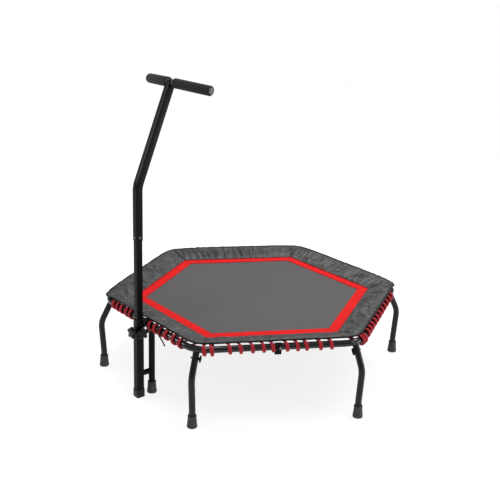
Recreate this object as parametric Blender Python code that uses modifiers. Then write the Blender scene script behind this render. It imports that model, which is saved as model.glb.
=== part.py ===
"""Hexagonal mini trampoline with a height-adjustable T-bar handle.

Units are metres, +Z is up and the floor is z = 0. The sides of the hexagon face -30, 30, 90,
150, 210 and 270 degrees, counted from +X. The handle stands outside the side that faces -Y.
"""
import math

import bmesh
import bpy
from mathutils import Quaternion, Vector

# Frame: three bent tubes, each with two corners, that plug into each other at three side middles.
FRAME_CORNER_R = 0.620
FRAME_BEND_R = 0.100
FRAME_Z = 0.300
FRAME_TUBE_R = 0.0127
TUBE_WALL = 0.0015
APOTHEM = FRAME_CORNER_R * math.cos(math.radians(30))
SWAGE_R = 0.0103
SWAGE_LENGTH = 0.038
JOINT_GAP = 0.0010
COUPLER_OUTER_R = 0.0152
SLEEVE_BORE_R = 0.0134
COUPLER_LENGTH = 0.025
COUPLER_BOLT_OFFSET = 0.006
BOLT_SHANK_R = 0.0030
BOLT_HOLE_R = 0.0034
BOLT_HEAD_R = 0.0055

# Legs: each slides over a stub that is welded under a frame corner.
LEG_TUBE_R = 0.0125
LEG_AXIS_TOP = Vector((0.594, 0.0, FRAME_Z))
LEG_KNEE = Vector((0.6425, 0.0, 0.195))
LEG_ANKLE = Vector((0.633, 0.0, 0.065))
LEG_FOOT_R = 0.633
LEG_AXIS = (LEG_KNEE - LEG_AXIS_TOP).normalized()
STUB_R = 0.0102
STUB_START = 0.008
STUB_END = 0.058
LEG_BOLT_AT = 0.038
FOOT_FLOOR = 0.010
FOOT_HEIGHT = 0.048
FOOT_SOCKET_R = 0.0132
FOOT_BASE_R = 0.0195
GAP = 0.0003

# Handle base: a square tube and a round post that stand beside the frame.
COLUMN_Y = -0.577
POST_Y = -0.517
BASE_TUBE_HALF = 0.0150
BASE_TUBE_WALL = 0.0012
BASE_TUBE_TOP = 0.322
CAP_HALF = 0.0170
CAP_FLOOR = 0.012
CAP_HEIGHT = 0.036
BUSH_DEPTH = 0.024
BUSH_LIP = 0.003
UPPER_LINK_Z = 0.296
UPPER_LINK_R = 0.011
LOWER_LINK_Z = 0.094
LOWER_LINK_R = 0.0115
BRACKET_RING_R = 0.0164
BRACKET_HALF = 0.012

# Handle: the inner tube slides in the base tube, and the bent tube is screwed onto it.
INNER_TUBE_HALF = 0.0125
INNER_TUBE_BOTTOM = 0.205
JOINT_Z = 0.644
INNER_TUBE_TOP = JOINT_Z + 0.080
HANDLE_TUBE_HALF = 0.0140
HANDLE_TUBE_WALL = 0.0012
HANDLE_BEND = Vector((0.0, COLUMN_Y, 0.852))
BAR_CENTRE = Vector((0.0, -0.430, 1.229))
BAR_HALF = Vector((0.198, 0.038, -0.010))
BAR_TUBE_R = 0.0110
GRIP_R = 0.0190
GRIP_BORE_R = 0.0115
GRIP_START = 0.0190

# Clamping screws with star knobs, one outward and one to the right.
KNOB_Z = 0.277
KNOB_R = 0.0240
KNOB_LOBES = 5
KNOB_START = 0.0255
KNOB_THICKNESS = 0.012
STUD_R = 0.0040
STUD_TIP = INNER_TUBE_HALF + 0.0004
STUD_END = 0.0320
BOSS_R = 0.0085
BOSS_THICKNESS = 0.005

# Small fittings: sizes of heads, hubs, tabs, sockets and the room left round threads.
HOLE_REACH = 0.020
THREAD_GAP = 0.0005
TAB_HALF = (0.003, 0.013)
TAB_Z = (-0.030, -0.0140)
WELD_NUT_R = 0.006
WELD_NUT_X = (-0.0205, -0.0138)
COUPLER_BOLT_HEAD = 0.003
COUPLER_BOLT_LENGTH = 0.038
LEG_KNEE_BEND = 0.09
LEG_ANKLE_BEND = 0.15
LEG_STRAIGHT_FROM = 0.02
NOTCH_GAP = 0.0008
FOOT_LIP_R = 0.0160
FOOT_RIM_R = 0.0166
FOOT_RIM = 0.003
FOOT_WAIST_R = 0.0172
FOOT_WAIST_Z = 0.030
FOOT_BASE_Z = 0.009
FOOT_EDGE_Z = 0.002
FOOT_EDGE = 0.0015
WING_SHANK_OUT = 0.006
WING_SHANK_IN = 0.004
WING_HUB_R = 0.0060
WING_HUB_LENGTH = 0.010
WING_HALF_WIDTH = 0.0055
WING_Y = (0.0095, 0.0055)
WING_Z = (-0.0130, 0.0105)
POST_TOP = 0.2710
POST_BORE_R = 0.0133
SOCKET_HALF = 0.0160
SOCKET_Z = (0.2570, 0.2850)
CAP_CORNER = 0.003
CAP_EDGE = 0.001
RECESS_CORNER = 0.0019
BUSH_CORNER = 0.001
THROAT_CORNER = 0.0015
THROAT_BELOW = 0.035
TUBE_CORNER = 0.002
KNOB_VALLEY = 0.62
KNOB_ROUNDNESS = 0.7
KNOB_EDGE = 0.0015
KNOB_HUB_R = 0.0085
KNOB_HUB_Z = (-0.0030, 0.0050)
STUD_SOCKET_GAP = 0.0004
JOINT_SCREW_Z = JOINT_Z + 0.012
JOINT_SCREW_HEAD_R = 0.0045
JOINT_SCREW_HEAD = 0.0022
JOINT_SCREW_LENGTH = 0.0055
SCREW_HOLE_FROM = 0.006
HANDLE_BEND_R = 0.10
BAR_BEND_R = 0.02
PLUG_DOME_R = 0.0095
PLUG_RIM_R = 0.0125
PLUG_NECK_R = 0.0088
PLUG_DOME = 0.0035
PLUG_RIM = 0.0015
PLUG_DEPTH = 0.014

# Jumping bed: the woven mat, its webbing border, the cover and the six laced elastic cords.
MAT_CORNER_R = 0.457
BORDER_CORNER_R = 0.508
MAT_TOP = 0.3000
MAT_THICKNESS = 0.003
BORDER_THICKNESS = 0.0045
COVER_INNER_APOTHEM = 0.4418
COVER_OUTER_APOTHEM = 0.533
COVER_INNER_Z = 0.2985
COVER_OUTER_Z = 0.3228
COVER_THICKNESS = 0.003
COVER_CORNER_R = 0.090
CORD_R = 0.004
CORD_WRAP_R = 0.0182
CORD_MAT_APOTHEM = 0.4465
CORD_MAT_Z = 0.2905
WRAPS_PER_HALF_SIDE = 6
BRACKET_SIDE = 4
FIRST_WRAP = 0.023
BRACKET_FIRST_WRAP = 0.032
LAST_WRAP = 0.2205
WRAP_ADVANCE = 0.008

# Free end of the cover's drawcord: it leaves the hem, crosses the tube and hangs outside it.
DRAWCORD_R = 0.0026
DRAWCORD_ROUTE = (
    (0.1000, -0.5338, 0.3243), (0.1002, -0.5400, 0.3242), (0.1008, -0.5462, 0.3230),
    (0.1020, -0.5520, 0.3198), (0.1045, -0.5572, 0.3145), (0.1085, -0.5604, 0.3078),
    (0.1130, -0.5612, 0.3005), (0.1180, -0.5604, 0.2935), (0.1232, -0.5588, 0.2865),
    (0.1285, -0.5566, 0.2795), (0.1332, -0.5542, 0.2722), (0.1372, -0.5520, 0.2645),
    (0.1400, -0.5502, 0.2563),
)

# The footprint is centred on the origin, so the hexagon's centre lies a little behind it.
REAR_REACH = LEG_FOOT_R * math.cos(math.radians(30)) + FOOT_BASE_R
FRONT_REACH = -COLUMN_Y + KNOB_START + KNOB_THICKNESS
HEXAGON_Y = (FRONT_REACH - REAR_REACH) / 2

TUBE_SIDES = 10
SMALL_SIDES = 8
SLEEVE_SIDES = 12
CORD_SIDES = 4


def polar(radius, degrees, z=0.0):
    angle = math.radians(degrees)
    return Vector((radius * math.cos(angle), radius * math.sin(angle), z))


def fillet(corners, radii, steps):
    """The path through the corners, with each inner corner rounded to an arc."""
    path = [corners[0]]
    for before, corner, after, radius in zip(corners, corners[1:], corners[2:], radii):
        back = (before - corner).normalized()
        ahead = (after - corner).normalized()
        half = back.angle(ahead) / 2
        centre = corner + (back + ahead).normalized() * radius / math.sin(half)
        start = corner + back * radius / math.tan(half) - centre
        end = corner + ahead * radius / math.tan(half) - centre
        axis = start.cross(end).normalized()
        for step in range(steps + 1):
            path.append(centre + Quaternion(axis, start.angle(end) * step / steps) @ start)
    path.append(corners[-1])
    return path


class Builder:
    """Holds the two collections and the frame that every part hangs from."""

    def __init__(self):
        for obj in list(bpy.data.objects):
            bpy.data.objects.remove(obj, do_unlink=True)
        self.parts = bpy.data.collections.new("mini_trampoline")
        self.cutters = bpy.data.collections.new("cutters")
        for collection in (self.parts, self.cutters):
            bpy.context.scene.collection.children.link(collection)
        self.centre = self.empty("hexagon_centre", None, (0, HEXAGON_Y, 0), 0)

    def empty(self, name, parent, location, turn):
        holder = bpy.data.objects.new(name, None)
        holder.empty_display_size = 0.03
        holder.parent = parent
        holder.location = location
        holder.rotation_euler.z = math.radians(turn)
        self.parts.objects.link(holder)
        return holder

    def helper(self, name, data):
        obj = bpy.data.objects.new(name, data)
        obj.hide_render = True
        obj.display_type = "WIRE"
        self.cutters.objects.link(obj)
        return obj

    def part(self, name, mesh, finish, parent=None, location=(0, 0, 0), rotation=(0, 0, 0)):
        obj = bpy.data.objects.new(name, mesh)
        obj.parent = parent or self.centre
        obj.location = location
        obj.rotation_euler = rotation
        self.parts.objects.link(obj)
        mesh.materials.clear()
        mesh.materials.append(material(name, *finish))
        mesh.shade_smooth()
        mesh.set_sharp_from_angle(angle=math.radians(40))
        return obj


STEEL_GLOSS = ((0.012, 0.012, 0.013), 0.25, 0.3)
STEEL_SATIN = ((0.020, 0.020, 0.021), 0.40, 0.3)
ZINC = ((0.45, 0.45, 0.46), 0.35, 0.9)
BLACK_PLASTIC = ((0.015, 0.015, 0.015), 0.5, 0.0)
RUBBER = ((0.030, 0.030, 0.032), 0.8, 0.0)
FOAM = ((0.022, 0.022, 0.024), 0.9, 0.0)
MAT_WEAVE = ((0.10, 0.10, 0.105), 0.75, 0.0)
RED_WEBBING = ((0.75, 0.015, 0.02), 0.6, 0.0)
COVER_CLOTH = ((0.035, 0.035, 0.037), 0.65, 0.0)
RED_CORD = ((0.35, 0.01, 0.04), 0.6, 0.0)


def material(name, colour, roughness, metallic):
    made = bpy.data.materials.get(name) or bpy.data.materials.new(name)
    made.use_nodes = True
    shader = made.node_tree.nodes["Principled BSDF"]
    shader.inputs["Base Color"].default_value = (*colour, 1)
    shader.inputs["Roughness"].default_value = roughness
    shader.inputs["Metallic"].default_value = metallic
    return made


def baked(obj):
    """The object's evaluated mesh, with loose caps and seams welded."""
    bpy.context.view_layer.update()
    graph = bpy.context.evaluated_depsgraph_get()
    mesh = bpy.data.meshes.new_from_object(obj.evaluated_get(graph))
    weld(mesh)
    return mesh


def weld(mesh):
    shape = bmesh.new()
    shape.from_mesh(mesh)
    bmesh.ops.remove_doubles(shape, verts=shape.verts, dist=0.00002)
    shape.to_mesh(mesh)
    shape.free()


def swept(build, path, radius, wall=0.0, scales=None, sides=TUBE_SIDES, profile=None):
    """A helper mesh: a round or profiled tube along a path, hollow with open ends if it has a wall."""
    curve = bpy.data.curves.new("sweep", "CURVE")
    curve.dimensions = "3D"
    curve.use_fill_caps = not wall
    if profile:
        curve.bevel_mode = "OBJECT"
        curve.bevel_object = profile
    else:
        curve.bevel_depth = radius
        curve.bevel_resolution = (sides - 4) // 2
    line = curve.splines.new("POLY")
    line.points.add(len(path) - 1)
    for index, point in enumerate(path):
        line.points[index].co = (*point, 1)
        line.points[index].radius = scales[index] if scales else 1.0
    obj = build.helper("sweep_guide", curve)
    if wall:
        shell = obj.modifiers.new("wall", "SOLIDIFY")
        shell.thickness = wall
        shell.offset = -1
        shell.use_even_offset = True
    mesh = baked(obj)
    bpy.data.objects.remove(obj)
    return build.helper("swept", mesh)


def flat_outline(build, loops, height, bevel=0.0):
    """A helper mesh: a filled 2D outline (with holes), from z = 0 up to the height."""
    curve = bpy.data.curves.new("outline", "CURVE")
    curve.dimensions = "2D"
    curve.fill_mode = "BOTH"
    curve.extrude = height / 2 - bevel
    curve.bevel_depth = bevel
    curve.bevel_resolution = 0
    curve.offset = -bevel
    for loop in loops:
        line = curve.splines.new("POLY")
        line.points.add(len(loop) - 1)
        line.use_cyclic_u = True
        for point, target in zip(loop, line.points):
            target.co = (point[0], point[1], 0, 1)
    obj = build.helper("outline_guide", curve)
    mesh = baked(obj)
    bpy.data.objects.remove(obj)
    for vertex in mesh.vertices:
        vertex.co.z += height / 2
    return build.helper("plate", mesh)


def square_loop(half, corner):
    """A square outline with chamfered corners."""
    inner = half - corner
    return [(half, -inner), (half, inner), (inner, half), (-inner, half),
            (-half, inner), (-half, -inner), (-inner, -half), (inner, -half)]


def square_tube(build, half, wall, height):
    loops = [square_loop(half, 0.002), square_loop(half - wall, 0.001)]
    return flat_outline(build, loops, height)


def lathe(build, profile, steps, ring=False):
    """A helper mesh turned about Z. The profile runs down its outer side, from top to bottom."""
    mesh = bpy.data.meshes.new("turned")
    edges = [(index, index + 1) for index in range(len(profile) - 1)]
    if ring:
        edges.append((len(profile) - 1, 0))
    mesh.from_pydata([(x, 0, z) for x, z in profile], edges, [])
    obj = build.helper("turning_guide", mesh)
    screw = obj.modifiers.new("turn", "SCREW")
    screw.steps = screw.render_steps = steps
    screw.use_merge_vertices = True
    screw.merge_threshold = 0.00001
    turned = baked(obj)
    bpy.data.objects.remove(obj)
    return build.helper("turned", turned)


def cylinder(build, radius, low, high, axis="Z", centre=(0, 0, 0), sides=TUBE_SIDES):
    """A helper cylinder along an axis, between two distances from its centre."""
    mesh = bpy.data.meshes.new("cylinder")
    shape = bmesh.new()
    bmesh.ops.create_cone(shape, cap_ends=True, segments=sides, radius1=radius, radius2=radius,
                          depth=high - low)
    shape.to_mesh(mesh)
    shape.free()
    obj = build.helper("cylinder", mesh)
    direction = Vector(axis) if not isinstance(axis, str) else Vector(
        (axis == "X", axis == "Y", axis == "Z"))
    obj.rotation_mode = "QUATERNION"
    obj.rotation_quaternion = direction.to_track_quat("Z", "Y")
    obj.location = Vector(centre) + direction * (low + high) / 2
    return obj


def block(build, low, high):
    """A helper box between two corners."""
    mesh = bpy.data.meshes.new("block")
    shape = bmesh.new()
    bmesh.ops.create_cube(shape, size=1)
    size = Vector(high) - Vector(low)
    bmesh.ops.scale(shape, vec=size, verts=shape.verts)
    bmesh.ops.translate(shape, vec=(Vector(high) + Vector(low)) / 2, verts=shape.verts)
    shape.to_mesh(mesh)
    shape.free()
    return build.helper("block", mesh)


def carved(base, joined=(), removed=()):
    """The mesh of the base with other helpers joined to it, and others cut away."""
    for operation, tools in (("UNION", joined), ("DIFFERENCE", removed)):
        for tool in tools:
            step = base.modifiers.new(operation.lower(), "BOOLEAN")
            step.operation = operation
            step.object = tool
    bpy.context.view_layer.update()
    mesh = baked(base)
    mesh.transform(base.matrix_world)
    return mesh


def button_screw(build, head_r, head_height, shank_r, length):
    """A round-headed screw along Z, with the underside of its head at z = 0."""
    profile = [(0, head_height), (head_r * 0.6, head_height), (head_r, head_height * 0.35),
               (head_r, 0), (shank_r, 0), (shank_r, -length), (0, -length)]
    return lathe(build, profile, SMALL_SIDES)


def frame_path():
    """The centre line of one frame tube: side middle, two corners, side middle."""
    corners = [polar(FRAME_CORNER_R, degrees, FRAME_Z) for degrees in (-60, 0, 60, 120)]
    first_way = (corners[1] - corners[0]).normalized()
    last_way = (corners[3] - corners[2]).normalized()
    start = polar(APOTHEM, -30, FRAME_Z) + first_way * JOINT_GAP
    end = polar(APOTHEM, 90, FRAME_Z) - last_way * JOINT_GAP
    path = fillet([start, corners[1], corners[2], end], [FRAME_BEND_R] * 2, 4)
    swage = [end + last_way * JOINT_GAP, end + last_way * SWAGE_LENGTH]
    return path, swage


def along_leg(distance):
    return LEG_AXIS_TOP + LEG_AXIS * distance


def make_frame(build):
    """Three bent tubes, swaged at one end, each with two welded leg stubs."""
    path, swage = frame_path()
    scales = [1.0] * len(path) + [SWAGE_R / FRAME_TUBE_R] * len(swage)
    tube = swept(build, path + swage, FRAME_TUBE_R, TUBE_WALL, scales)
    stubs, holes = [], []
    for turn in (0, 60):
        spin = Quaternion((0, 0, 1), math.radians(turn))
        stubs.append(cylinder(build, STUB_R, STUB_START, STUB_END, spin @ LEG_AXIS,
                              spin @ LEG_AXIS_TOP))
        holes.append(cylinder(build, BOLT_HOLE_R, -HOLE_REACH, HOLE_REACH,
                              spin @ Vector((0, 1, 0)), spin @ along_leg(LEG_BOLT_AT)))
    for degrees in (-30, 90):
        outward = polar(1, degrees)
        middle = polar(APOTHEM, degrees, FRAME_Z) + polar(COUPLER_BOLT_OFFSET, degrees + 90)
        holes.append(cylinder(build, BOLT_HOLE_R, -HOLE_REACH, HOLE_REACH, outward, middle))
    mesh = carved(tube, stubs, holes)
    for index in range(3):
        build.part(f"frame_tube_{index + 1}", mesh, STEEL_GLOSS,
                   rotation=(0, 0, math.radians(120 * index)))


def make_couplers(build):
    """A sleeve with a tab and a weld nut over each joint of the frame, and its bolt."""
    half = COUPLER_LENGTH / 2
    sleeve = cylinder(build, COUPLER_OUTER_R, -half, half, "Y", sides=SLEEVE_SIDES)
    tab = block(build, (-TAB_HALF[0], -TAB_HALF[1], TAB_Z[0]), (*TAB_HALF, TAB_Z[1]))
    nut = cylinder(build, WELD_NUT_R, *WELD_NUT_X, "X", (0, COUPLER_BOLT_OFFSET, 0), 6)
    bore = cylinder(build, SLEEVE_BORE_R, -HOLE_REACH, HOLE_REACH, "Y", sides=SLEEVE_SIDES)
    reach = HOLE_REACH + COUPLER_OUTER_R
    hole = cylinder(build, BOLT_HOLE_R, -reach, reach, "X", (0, COUPLER_BOLT_OFFSET, 0), SMALL_SIDES)
    coupler = carved(sleeve, (tab, nut), (bore, hole))
    head = button_screw(build, BOLT_HEAD_R, COUPLER_BOLT_HEAD, BOLT_SHANK_R, COUPLER_BOLT_LENGTH)
    bolt = carved(head)
    for index, degrees in enumerate((-30, 90, 210)):
        seat = build.empty(f"frame_joint_{index + 1}", build.centre, polar(APOTHEM, degrees, FRAME_Z),
                           degrees)
        build.part(f"frame_coupler_{index + 1}", coupler, STEEL_SATIN, seat)
        build.part(f"coupler_bolt_{index + 1}", bolt, ZINC, seat,
                   (COUPLER_OUTER_R + GAP, COUPLER_BOLT_OFFSET, 0), (0, math.radians(90), 0))


def leg_mesh(build):
    """A hollow leg: its top is notched round the frame tube, and it bends once at the knee."""
    path = fillet([along_leg(STUB_START), LEG_KNEE, LEG_ANKLE,
                   Vector((LEG_FOOT_R, 0, LEG_STRAIGHT_FROM))], [LEG_KNEE_BEND, LEG_ANKLE_BEND], 2)
    path.append(Vector((LEG_FOOT_R, 0, FOOT_FLOOR + GAP)))
    leg = swept(build, path, LEG_TUBE_R, TUBE_WALL)
    tip = polar(FRAME_CORNER_R, 0, FRAME_Z)
    ends = [polar(FRAME_CORNER_R, degrees, FRAME_Z).lerp(tip, 0.6) for degrees in (-60, 60)]
    corner = fillet([ends[0], tip, ends[1]], [FRAME_BEND_R], 5)
    notch = swept(build, corner, FRAME_TUBE_R + NOTCH_GAP)
    hole = cylinder(build, BOLT_HOLE_R, -HOLE_REACH, HOLE_REACH, "Y", along_leg(LEG_BOLT_AT),
                    SMALL_SIDES)
    return carved(leg, removed=(notch, hole))


def foot_mesh(build):
    """A bell-shaped rubber foot with a blind socket, standing on z = 0."""
    profile = [(0, FOOT_FLOOR), (FOOT_SOCKET_R, FOOT_FLOOR), (FOOT_SOCKET_R, FOOT_HEIGHT),
               (FOOT_LIP_R, FOOT_HEIGHT), (FOOT_RIM_R, FOOT_HEIGHT - FOOT_RIM),
               (FOOT_WAIST_R, FOOT_WAIST_Z), (FOOT_BASE_R, FOOT_BASE_Z),
               (FOOT_BASE_R, FOOT_EDGE_Z), (FOOT_BASE_R - FOOT_EDGE, 0), (0, 0)]
    return carved(lathe(build, profile, SLEEVE_SIDES))


def wing_screw_mesh(build):
    """A hand screw along Y: its wing stands clear of the leg, and its end comes out behind."""
    reach = LEG_TUBE_R + GAP
    shank = cylinder(build, BOLT_SHANK_R, -reach - WING_SHANK_OUT, reach + WING_SHANK_IN, "Y",
                     sides=SMALL_SIDES)
    hub = cylinder(build, WING_HUB_R, -reach - WING_HUB_LENGTH, -reach, "Y", sides=SMALL_SIDES)
    wing = block(build, (-WING_HALF_WIDTH, -reach - WING_Y[0], WING_Z[0]),
                 (WING_HALF_WIDTH, -reach - WING_Y[1], WING_Z[1]))
    return carved(hub, (shank, wing))


def make_legs(build):
    leg, foot, screw = leg_mesh(build), foot_mesh(build), wing_screw_mesh(build)
    for index in range(6):
        station = build.empty(f"corner_{index + 1}", build.centre, (0, 0, 0), 60 * index)
        build.part(f"leg_{index + 1}", leg, STEEL_SATIN, station)
        build.part(f"leg_foot_{index + 1}", foot, RUBBER, station, (LEG_FOOT_R, 0, 0))
        half_turn = math.pi if index % 2 else 0
        build.part(f"leg_screw_{index + 1}", screw, STEEL_SATIN, station, along_leg(LEG_BOLT_AT),
                   (0, 0, half_turn))


def make_handle_base(build):
    """The post with its foot, the bracket on the frame, the links and the square base tube."""
    post = swept(build, [Vector((0, POST_Y, FOOT_FLOOR + GAP)), Vector((0, POST_Y, POST_TOP))],
                 LEG_TUBE_R, TUBE_WALL)
    build.part("support_post", carved(post), STEEL_SATIN)
    build.part("post_foot", foot_mesh(build), RUBBER, location=(0, POST_Y, 0))

    seat = (0, -APOTHEM, FRAME_Z)
    ring = cylinder(build, BRACKET_RING_R, -BRACKET_HALF, BRACKET_HALF, "X", seat, SLEEVE_SIDES)
    socket = block(build, (-SOCKET_HALF, POST_Y - SOCKET_HALF, SOCKET_Z[0]),
                   (SOCKET_HALF, POST_Y + SOCKET_HALF, SOCKET_Z[1]))
    tube_bore = cylinder(build, SLEEVE_BORE_R, -HOLE_REACH, HOLE_REACH, "X", seat, SLEEVE_SIDES)
    post_bore = cylinder(build, POST_BORE_R, SOCKET_Z[0] - HOLE_REACH, POST_TOP + THREAD_GAP, "Z",
                         (0, POST_Y, 0), SLEEVE_SIDES)
    build.part("frame_bracket", carved(ring, (socket,), (tube_bore, post_bore)), STEEL_SATIN)

    face = COLUMN_Y + BASE_TUBE_HALF + GAP
    upper = cylinder(build, UPPER_LINK_R, face, -APOTHEM - BRACKET_RING_R - GAP, "Y",
                     (0, 0, UPPER_LINK_Z))
    build.part("upper_link", carved(upper), STEEL_GLOSS)
    lower = cylinder(build, LOWER_LINK_R, face, POST_Y - LEG_TUBE_R - GAP, "Y", (0, 0, LOWER_LINK_Z))
    build.part("lower_link", carved(lower), STEEL_SATIN)

    height = BASE_TUBE_TOP - CAP_FLOOR - GAP
    tube = square_tube(build, BASE_TUBE_HALF, BASE_TUBE_WALL, height)
    tube.location = (0, 0, CAP_FLOOR + GAP)
    stud_holes = [cylinder(build, STUD_R + THREAD_GAP, BASE_TUBE_HALF - STUD_R, HOLE_REACH, axis,
                           (0, 0, KNOB_Z))
                  for axis in ((0, -1, 0), (1, 0, 0))]
    build.part("base_tube", carved(tube, (), stud_holes), STEEL_SATIN, location=(0, COLUMN_Y, 0))

    cap = flat_outline(build, [square_loop(CAP_HALF, CAP_CORNER)], CAP_HEIGHT, CAP_EDGE)
    recess = flat_outline(build, [square_loop(BASE_TUBE_HALF + GAP, RECESS_CORNER)], CAP_HEIGHT)
    recess.location.z = CAP_FLOOR
    build.part("base_tube_cap", carved(cap, (), (recess,)), BLACK_PLASTIC, location=(0, COLUMN_Y, 0))

    bush_outer = BASE_TUBE_HALF - BASE_TUBE_WALL - GAP
    bush = flat_outline(build, [square_loop(bush_outer, BUSH_CORNER)], BUSH_DEPTH + BUSH_LIP / 2)
    bush.location.z = BASE_TUBE_TOP - BUSH_DEPTH
    lip = flat_outline(build, [square_loop(BASE_TUBE_HALF, TUBE_CORNER)], BUSH_LIP)
    lip.location.z = BASE_TUBE_TOP + GAP
    throat = flat_outline(build, [square_loop(INNER_TUBE_HALF + GAP, THROAT_CORNER)],
                          THROAT_BELOW + HOLE_REACH)
    throat.location.z = BASE_TUBE_TOP - THROAT_BELOW
    build.part("guide_bush", carved(bush, (lip,), (throat,)), BLACK_PLASTIC, location=(0, COLUMN_Y, 0))


def star_loop():
    """The outline of a star knob: round lobes with deep valleys between them."""
    count = 6 * KNOB_LOBES
    loop = []
    for index in range(count):
        angle = 2 * math.pi * index / count
        lobe = 0.5 + 0.5 * math.cos(KNOB_LOBES * angle)
        radius = KNOB_R * (KNOB_VALLEY + (1 - KNOB_VALLEY) * lobe ** KNOB_ROUNDNESS)
        loop.append((radius * math.sin(angle), radius * math.cos(angle)))
    return loop


def make_knobs(build):
    """Two clamping screws at one height: each stud turns in a welded boss, with its star knob."""
    star = flat_outline(build, [star_loop()], KNOB_THICKNESS, KNOB_EDGE)
    hub = cylinder(build, KNOB_HUB_R, *KNOB_HUB_Z, "Z")
    socket = cylinder(build, STUD_R + STUD_SOCKET_GAP, -HOLE_REACH, STUD_END - KNOB_START + GAP, "Z")
    knob = carved(star, (hub,), (socket,))
    stud = carved(cylinder(build, STUD_R, STUD_TIP, STUD_END, "Z"))
    boss_low = BASE_TUBE_HALF + GAP
    boss_body = cylinder(build, BOSS_R, boss_low, boss_low + BOSS_THICKNESS, "Z")
    boss = carved(boss_body, (), (cylinder(build, STUD_R + THREAD_GAP, 0, 2 * HOLE_REACH, "Z"),))
    for side, turn in (("front", (math.radians(90), 0, 0)), ("side", (0, math.radians(90), 0))):
        station = build.empty(f"{side}_screw_axis", build.centre, (0, COLUMN_Y, KNOB_Z), 0)
        station.rotation_euler = turn
        build.part(f"{side}_knob", knob, BLACK_PLASTIC, station, (0, 0, KNOB_START))
        build.part(f"{side}_stud", stud, ZINC, station)
        build.part(f"{side}_boss", boss, STEEL_SATIN, station)


def make_handle(build):
    """The inner tube, the bent tube screwed onto it, and the shallow V of the T-bar."""
    inner = square_tube(build, INNER_TUBE_HALF, TUBE_WALL, INNER_TUBE_TOP - INNER_TUBE_BOTTOM)
    inner.location = (0, COLUMN_Y, INNER_TUBE_BOTTOM)
    axes = (("front", Vector((0, -1, 0))), ("side", Vector((1, 0, 0))))

    def screw_holes():
        return [cylinder(build, BOLT_SHANK_R, SCREW_HOLE_FROM, HOLE_REACH, axis,
                         (0, COLUMN_Y, JOINT_SCREW_Z)) for _, axis in axes]

    build.part("inner_tube", carved(inner, (), screw_holes()), STEEL_SATIN)

    profile_curve = bpy.data.curves.new("handle_profile", "CURVE")
    profile_line = profile_curve.splines.new("POLY")
    loop = square_loop(HANDLE_TUBE_HALF, TUBE_CORNER)[::-1]
    profile_line.points.add(len(loop) - 1)
    profile_line.use_cyclic_u = True
    for point, target in zip(loop, profile_line.points):
        target.co = (*point, 0, 1)
    profile = build.helper("handle_profile", profile_curve)
    slope = (BAR_CENTRE - HANDLE_BEND).normalized()
    top = BAR_CENTRE - slope * (BAR_TUBE_R + NOTCH_GAP)
    path = fillet([Vector((0, COLUMN_Y, JOINT_Z)), HANDLE_BEND, top], [HANDLE_BEND_R], 5)
    bent = swept(build, path, 0, HANDLE_TUBE_WALL, profile=profile)
    build.part("handle_tube", carved(bent, (), screw_holes()), STEEL_SATIN)

    screw = carved(button_screw(build, JOINT_SCREW_HEAD_R, JOINT_SCREW_HEAD,
                                BOLT_SHANK_R - THREAD_GAP, JOINT_SCREW_LENGTH))
    for name, axis in axes:
        place = Vector((0, COLUMN_Y, JOINT_SCREW_Z)) + axis * (HANDLE_TUBE_HALF + GAP)
        build.part(f"joint_screw_{name}", screw, ZINC, location=place,
                   rotation=axis.to_track_quat("Z", "Y").to_euler())

    left_half = Vector((-BAR_HALF.x, BAR_HALF.y, BAR_HALF.z))
    ends = (BAR_CENTRE + left_half, BAR_CENTRE + BAR_HALF)
    bar_path = fillet([ends[0], BAR_CENTRE, ends[1]], [BAR_BEND_R], 2)
    bar = swept(build, bar_path, BAR_TUBE_R, TUBE_WALL)
    build.part("t_bar", carved(bar), STEEL_SATIN)

    length = BAR_HALF.length
    grip_profile = [(GRIP_BORE_R, length), (GRIP_R - 0.003, length), (GRIP_R - 0.0008, length - 0.0015),
                    (GRIP_R, length - 0.004), (GRIP_R, GRIP_START + 0.003), (GRIP_R - 0.002, GRIP_START),
                    (GRIP_BORE_R, GRIP_START)]
    grip = carved(lathe(build, grip_profile, 16, ring=True))
    plug_profile = [(0, PLUG_DOME), (PLUG_DOME_R, PLUG_DOME), (PLUG_RIM_R, PLUG_RIM),
                    (PLUG_RIM_R, GAP), (PLUG_NECK_R, GAP), (PLUG_NECK_R - STUD_SOCKET_GAP, -PLUG_DEPTH),
                    (0, -PLUG_DEPTH)]
    plug = carved(lathe(build, plug_profile, SLEEVE_SIDES))
    for side, half in (("left", left_half), ("right", BAR_HALF)):
        turn = half.to_track_quat("Z", "Y").to_euler()
        build.part(f"grip_{side}", grip, FOAM, location=BAR_CENTRE, rotation=turn)
        build.part(f"bar_plug_{side}", plug, BLACK_PLASTIC, location=BAR_CENTRE + half, rotation=turn)


def hexagon(corner_r):
    return [polar(corner_r, 60 * index).to_2d() for index in range(6)]


def rounded_hexagon(apothem, radius, steps):
    """A hexagon outline whose corners are arcs."""
    points = []
    corner_r = apothem / math.cos(math.radians(30))
    centre_r = corner_r - radius / math.cos(math.radians(30))
    for index in range(6):
        for step in range(steps + 1):
            turn = 60 * index - 30 + 60 * step / steps
            points.append(polar(centre_r, 60 * index) + polar(radius, turn))
    return points


def make_bed(build):
    """The mat and the webbing border that is sewn round it."""
    mat = flat_outline(build, [hexagon(MAT_CORNER_R)], MAT_THICKNESS)
    build.part("jump_mat", carved(mat), MAT_WEAVE, location=(0, 0, MAT_TOP - MAT_THICKNESS))
    loops = [hexagon(BORDER_CORNER_R), hexagon(MAT_CORNER_R + GAP * 2)]
    border = flat_outline(build, loops, BORDER_THICKNESS)
    build.part("mat_border", carved(border), RED_WEBBING, location=(0, 0, MAT_TOP - 0.0035))


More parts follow.
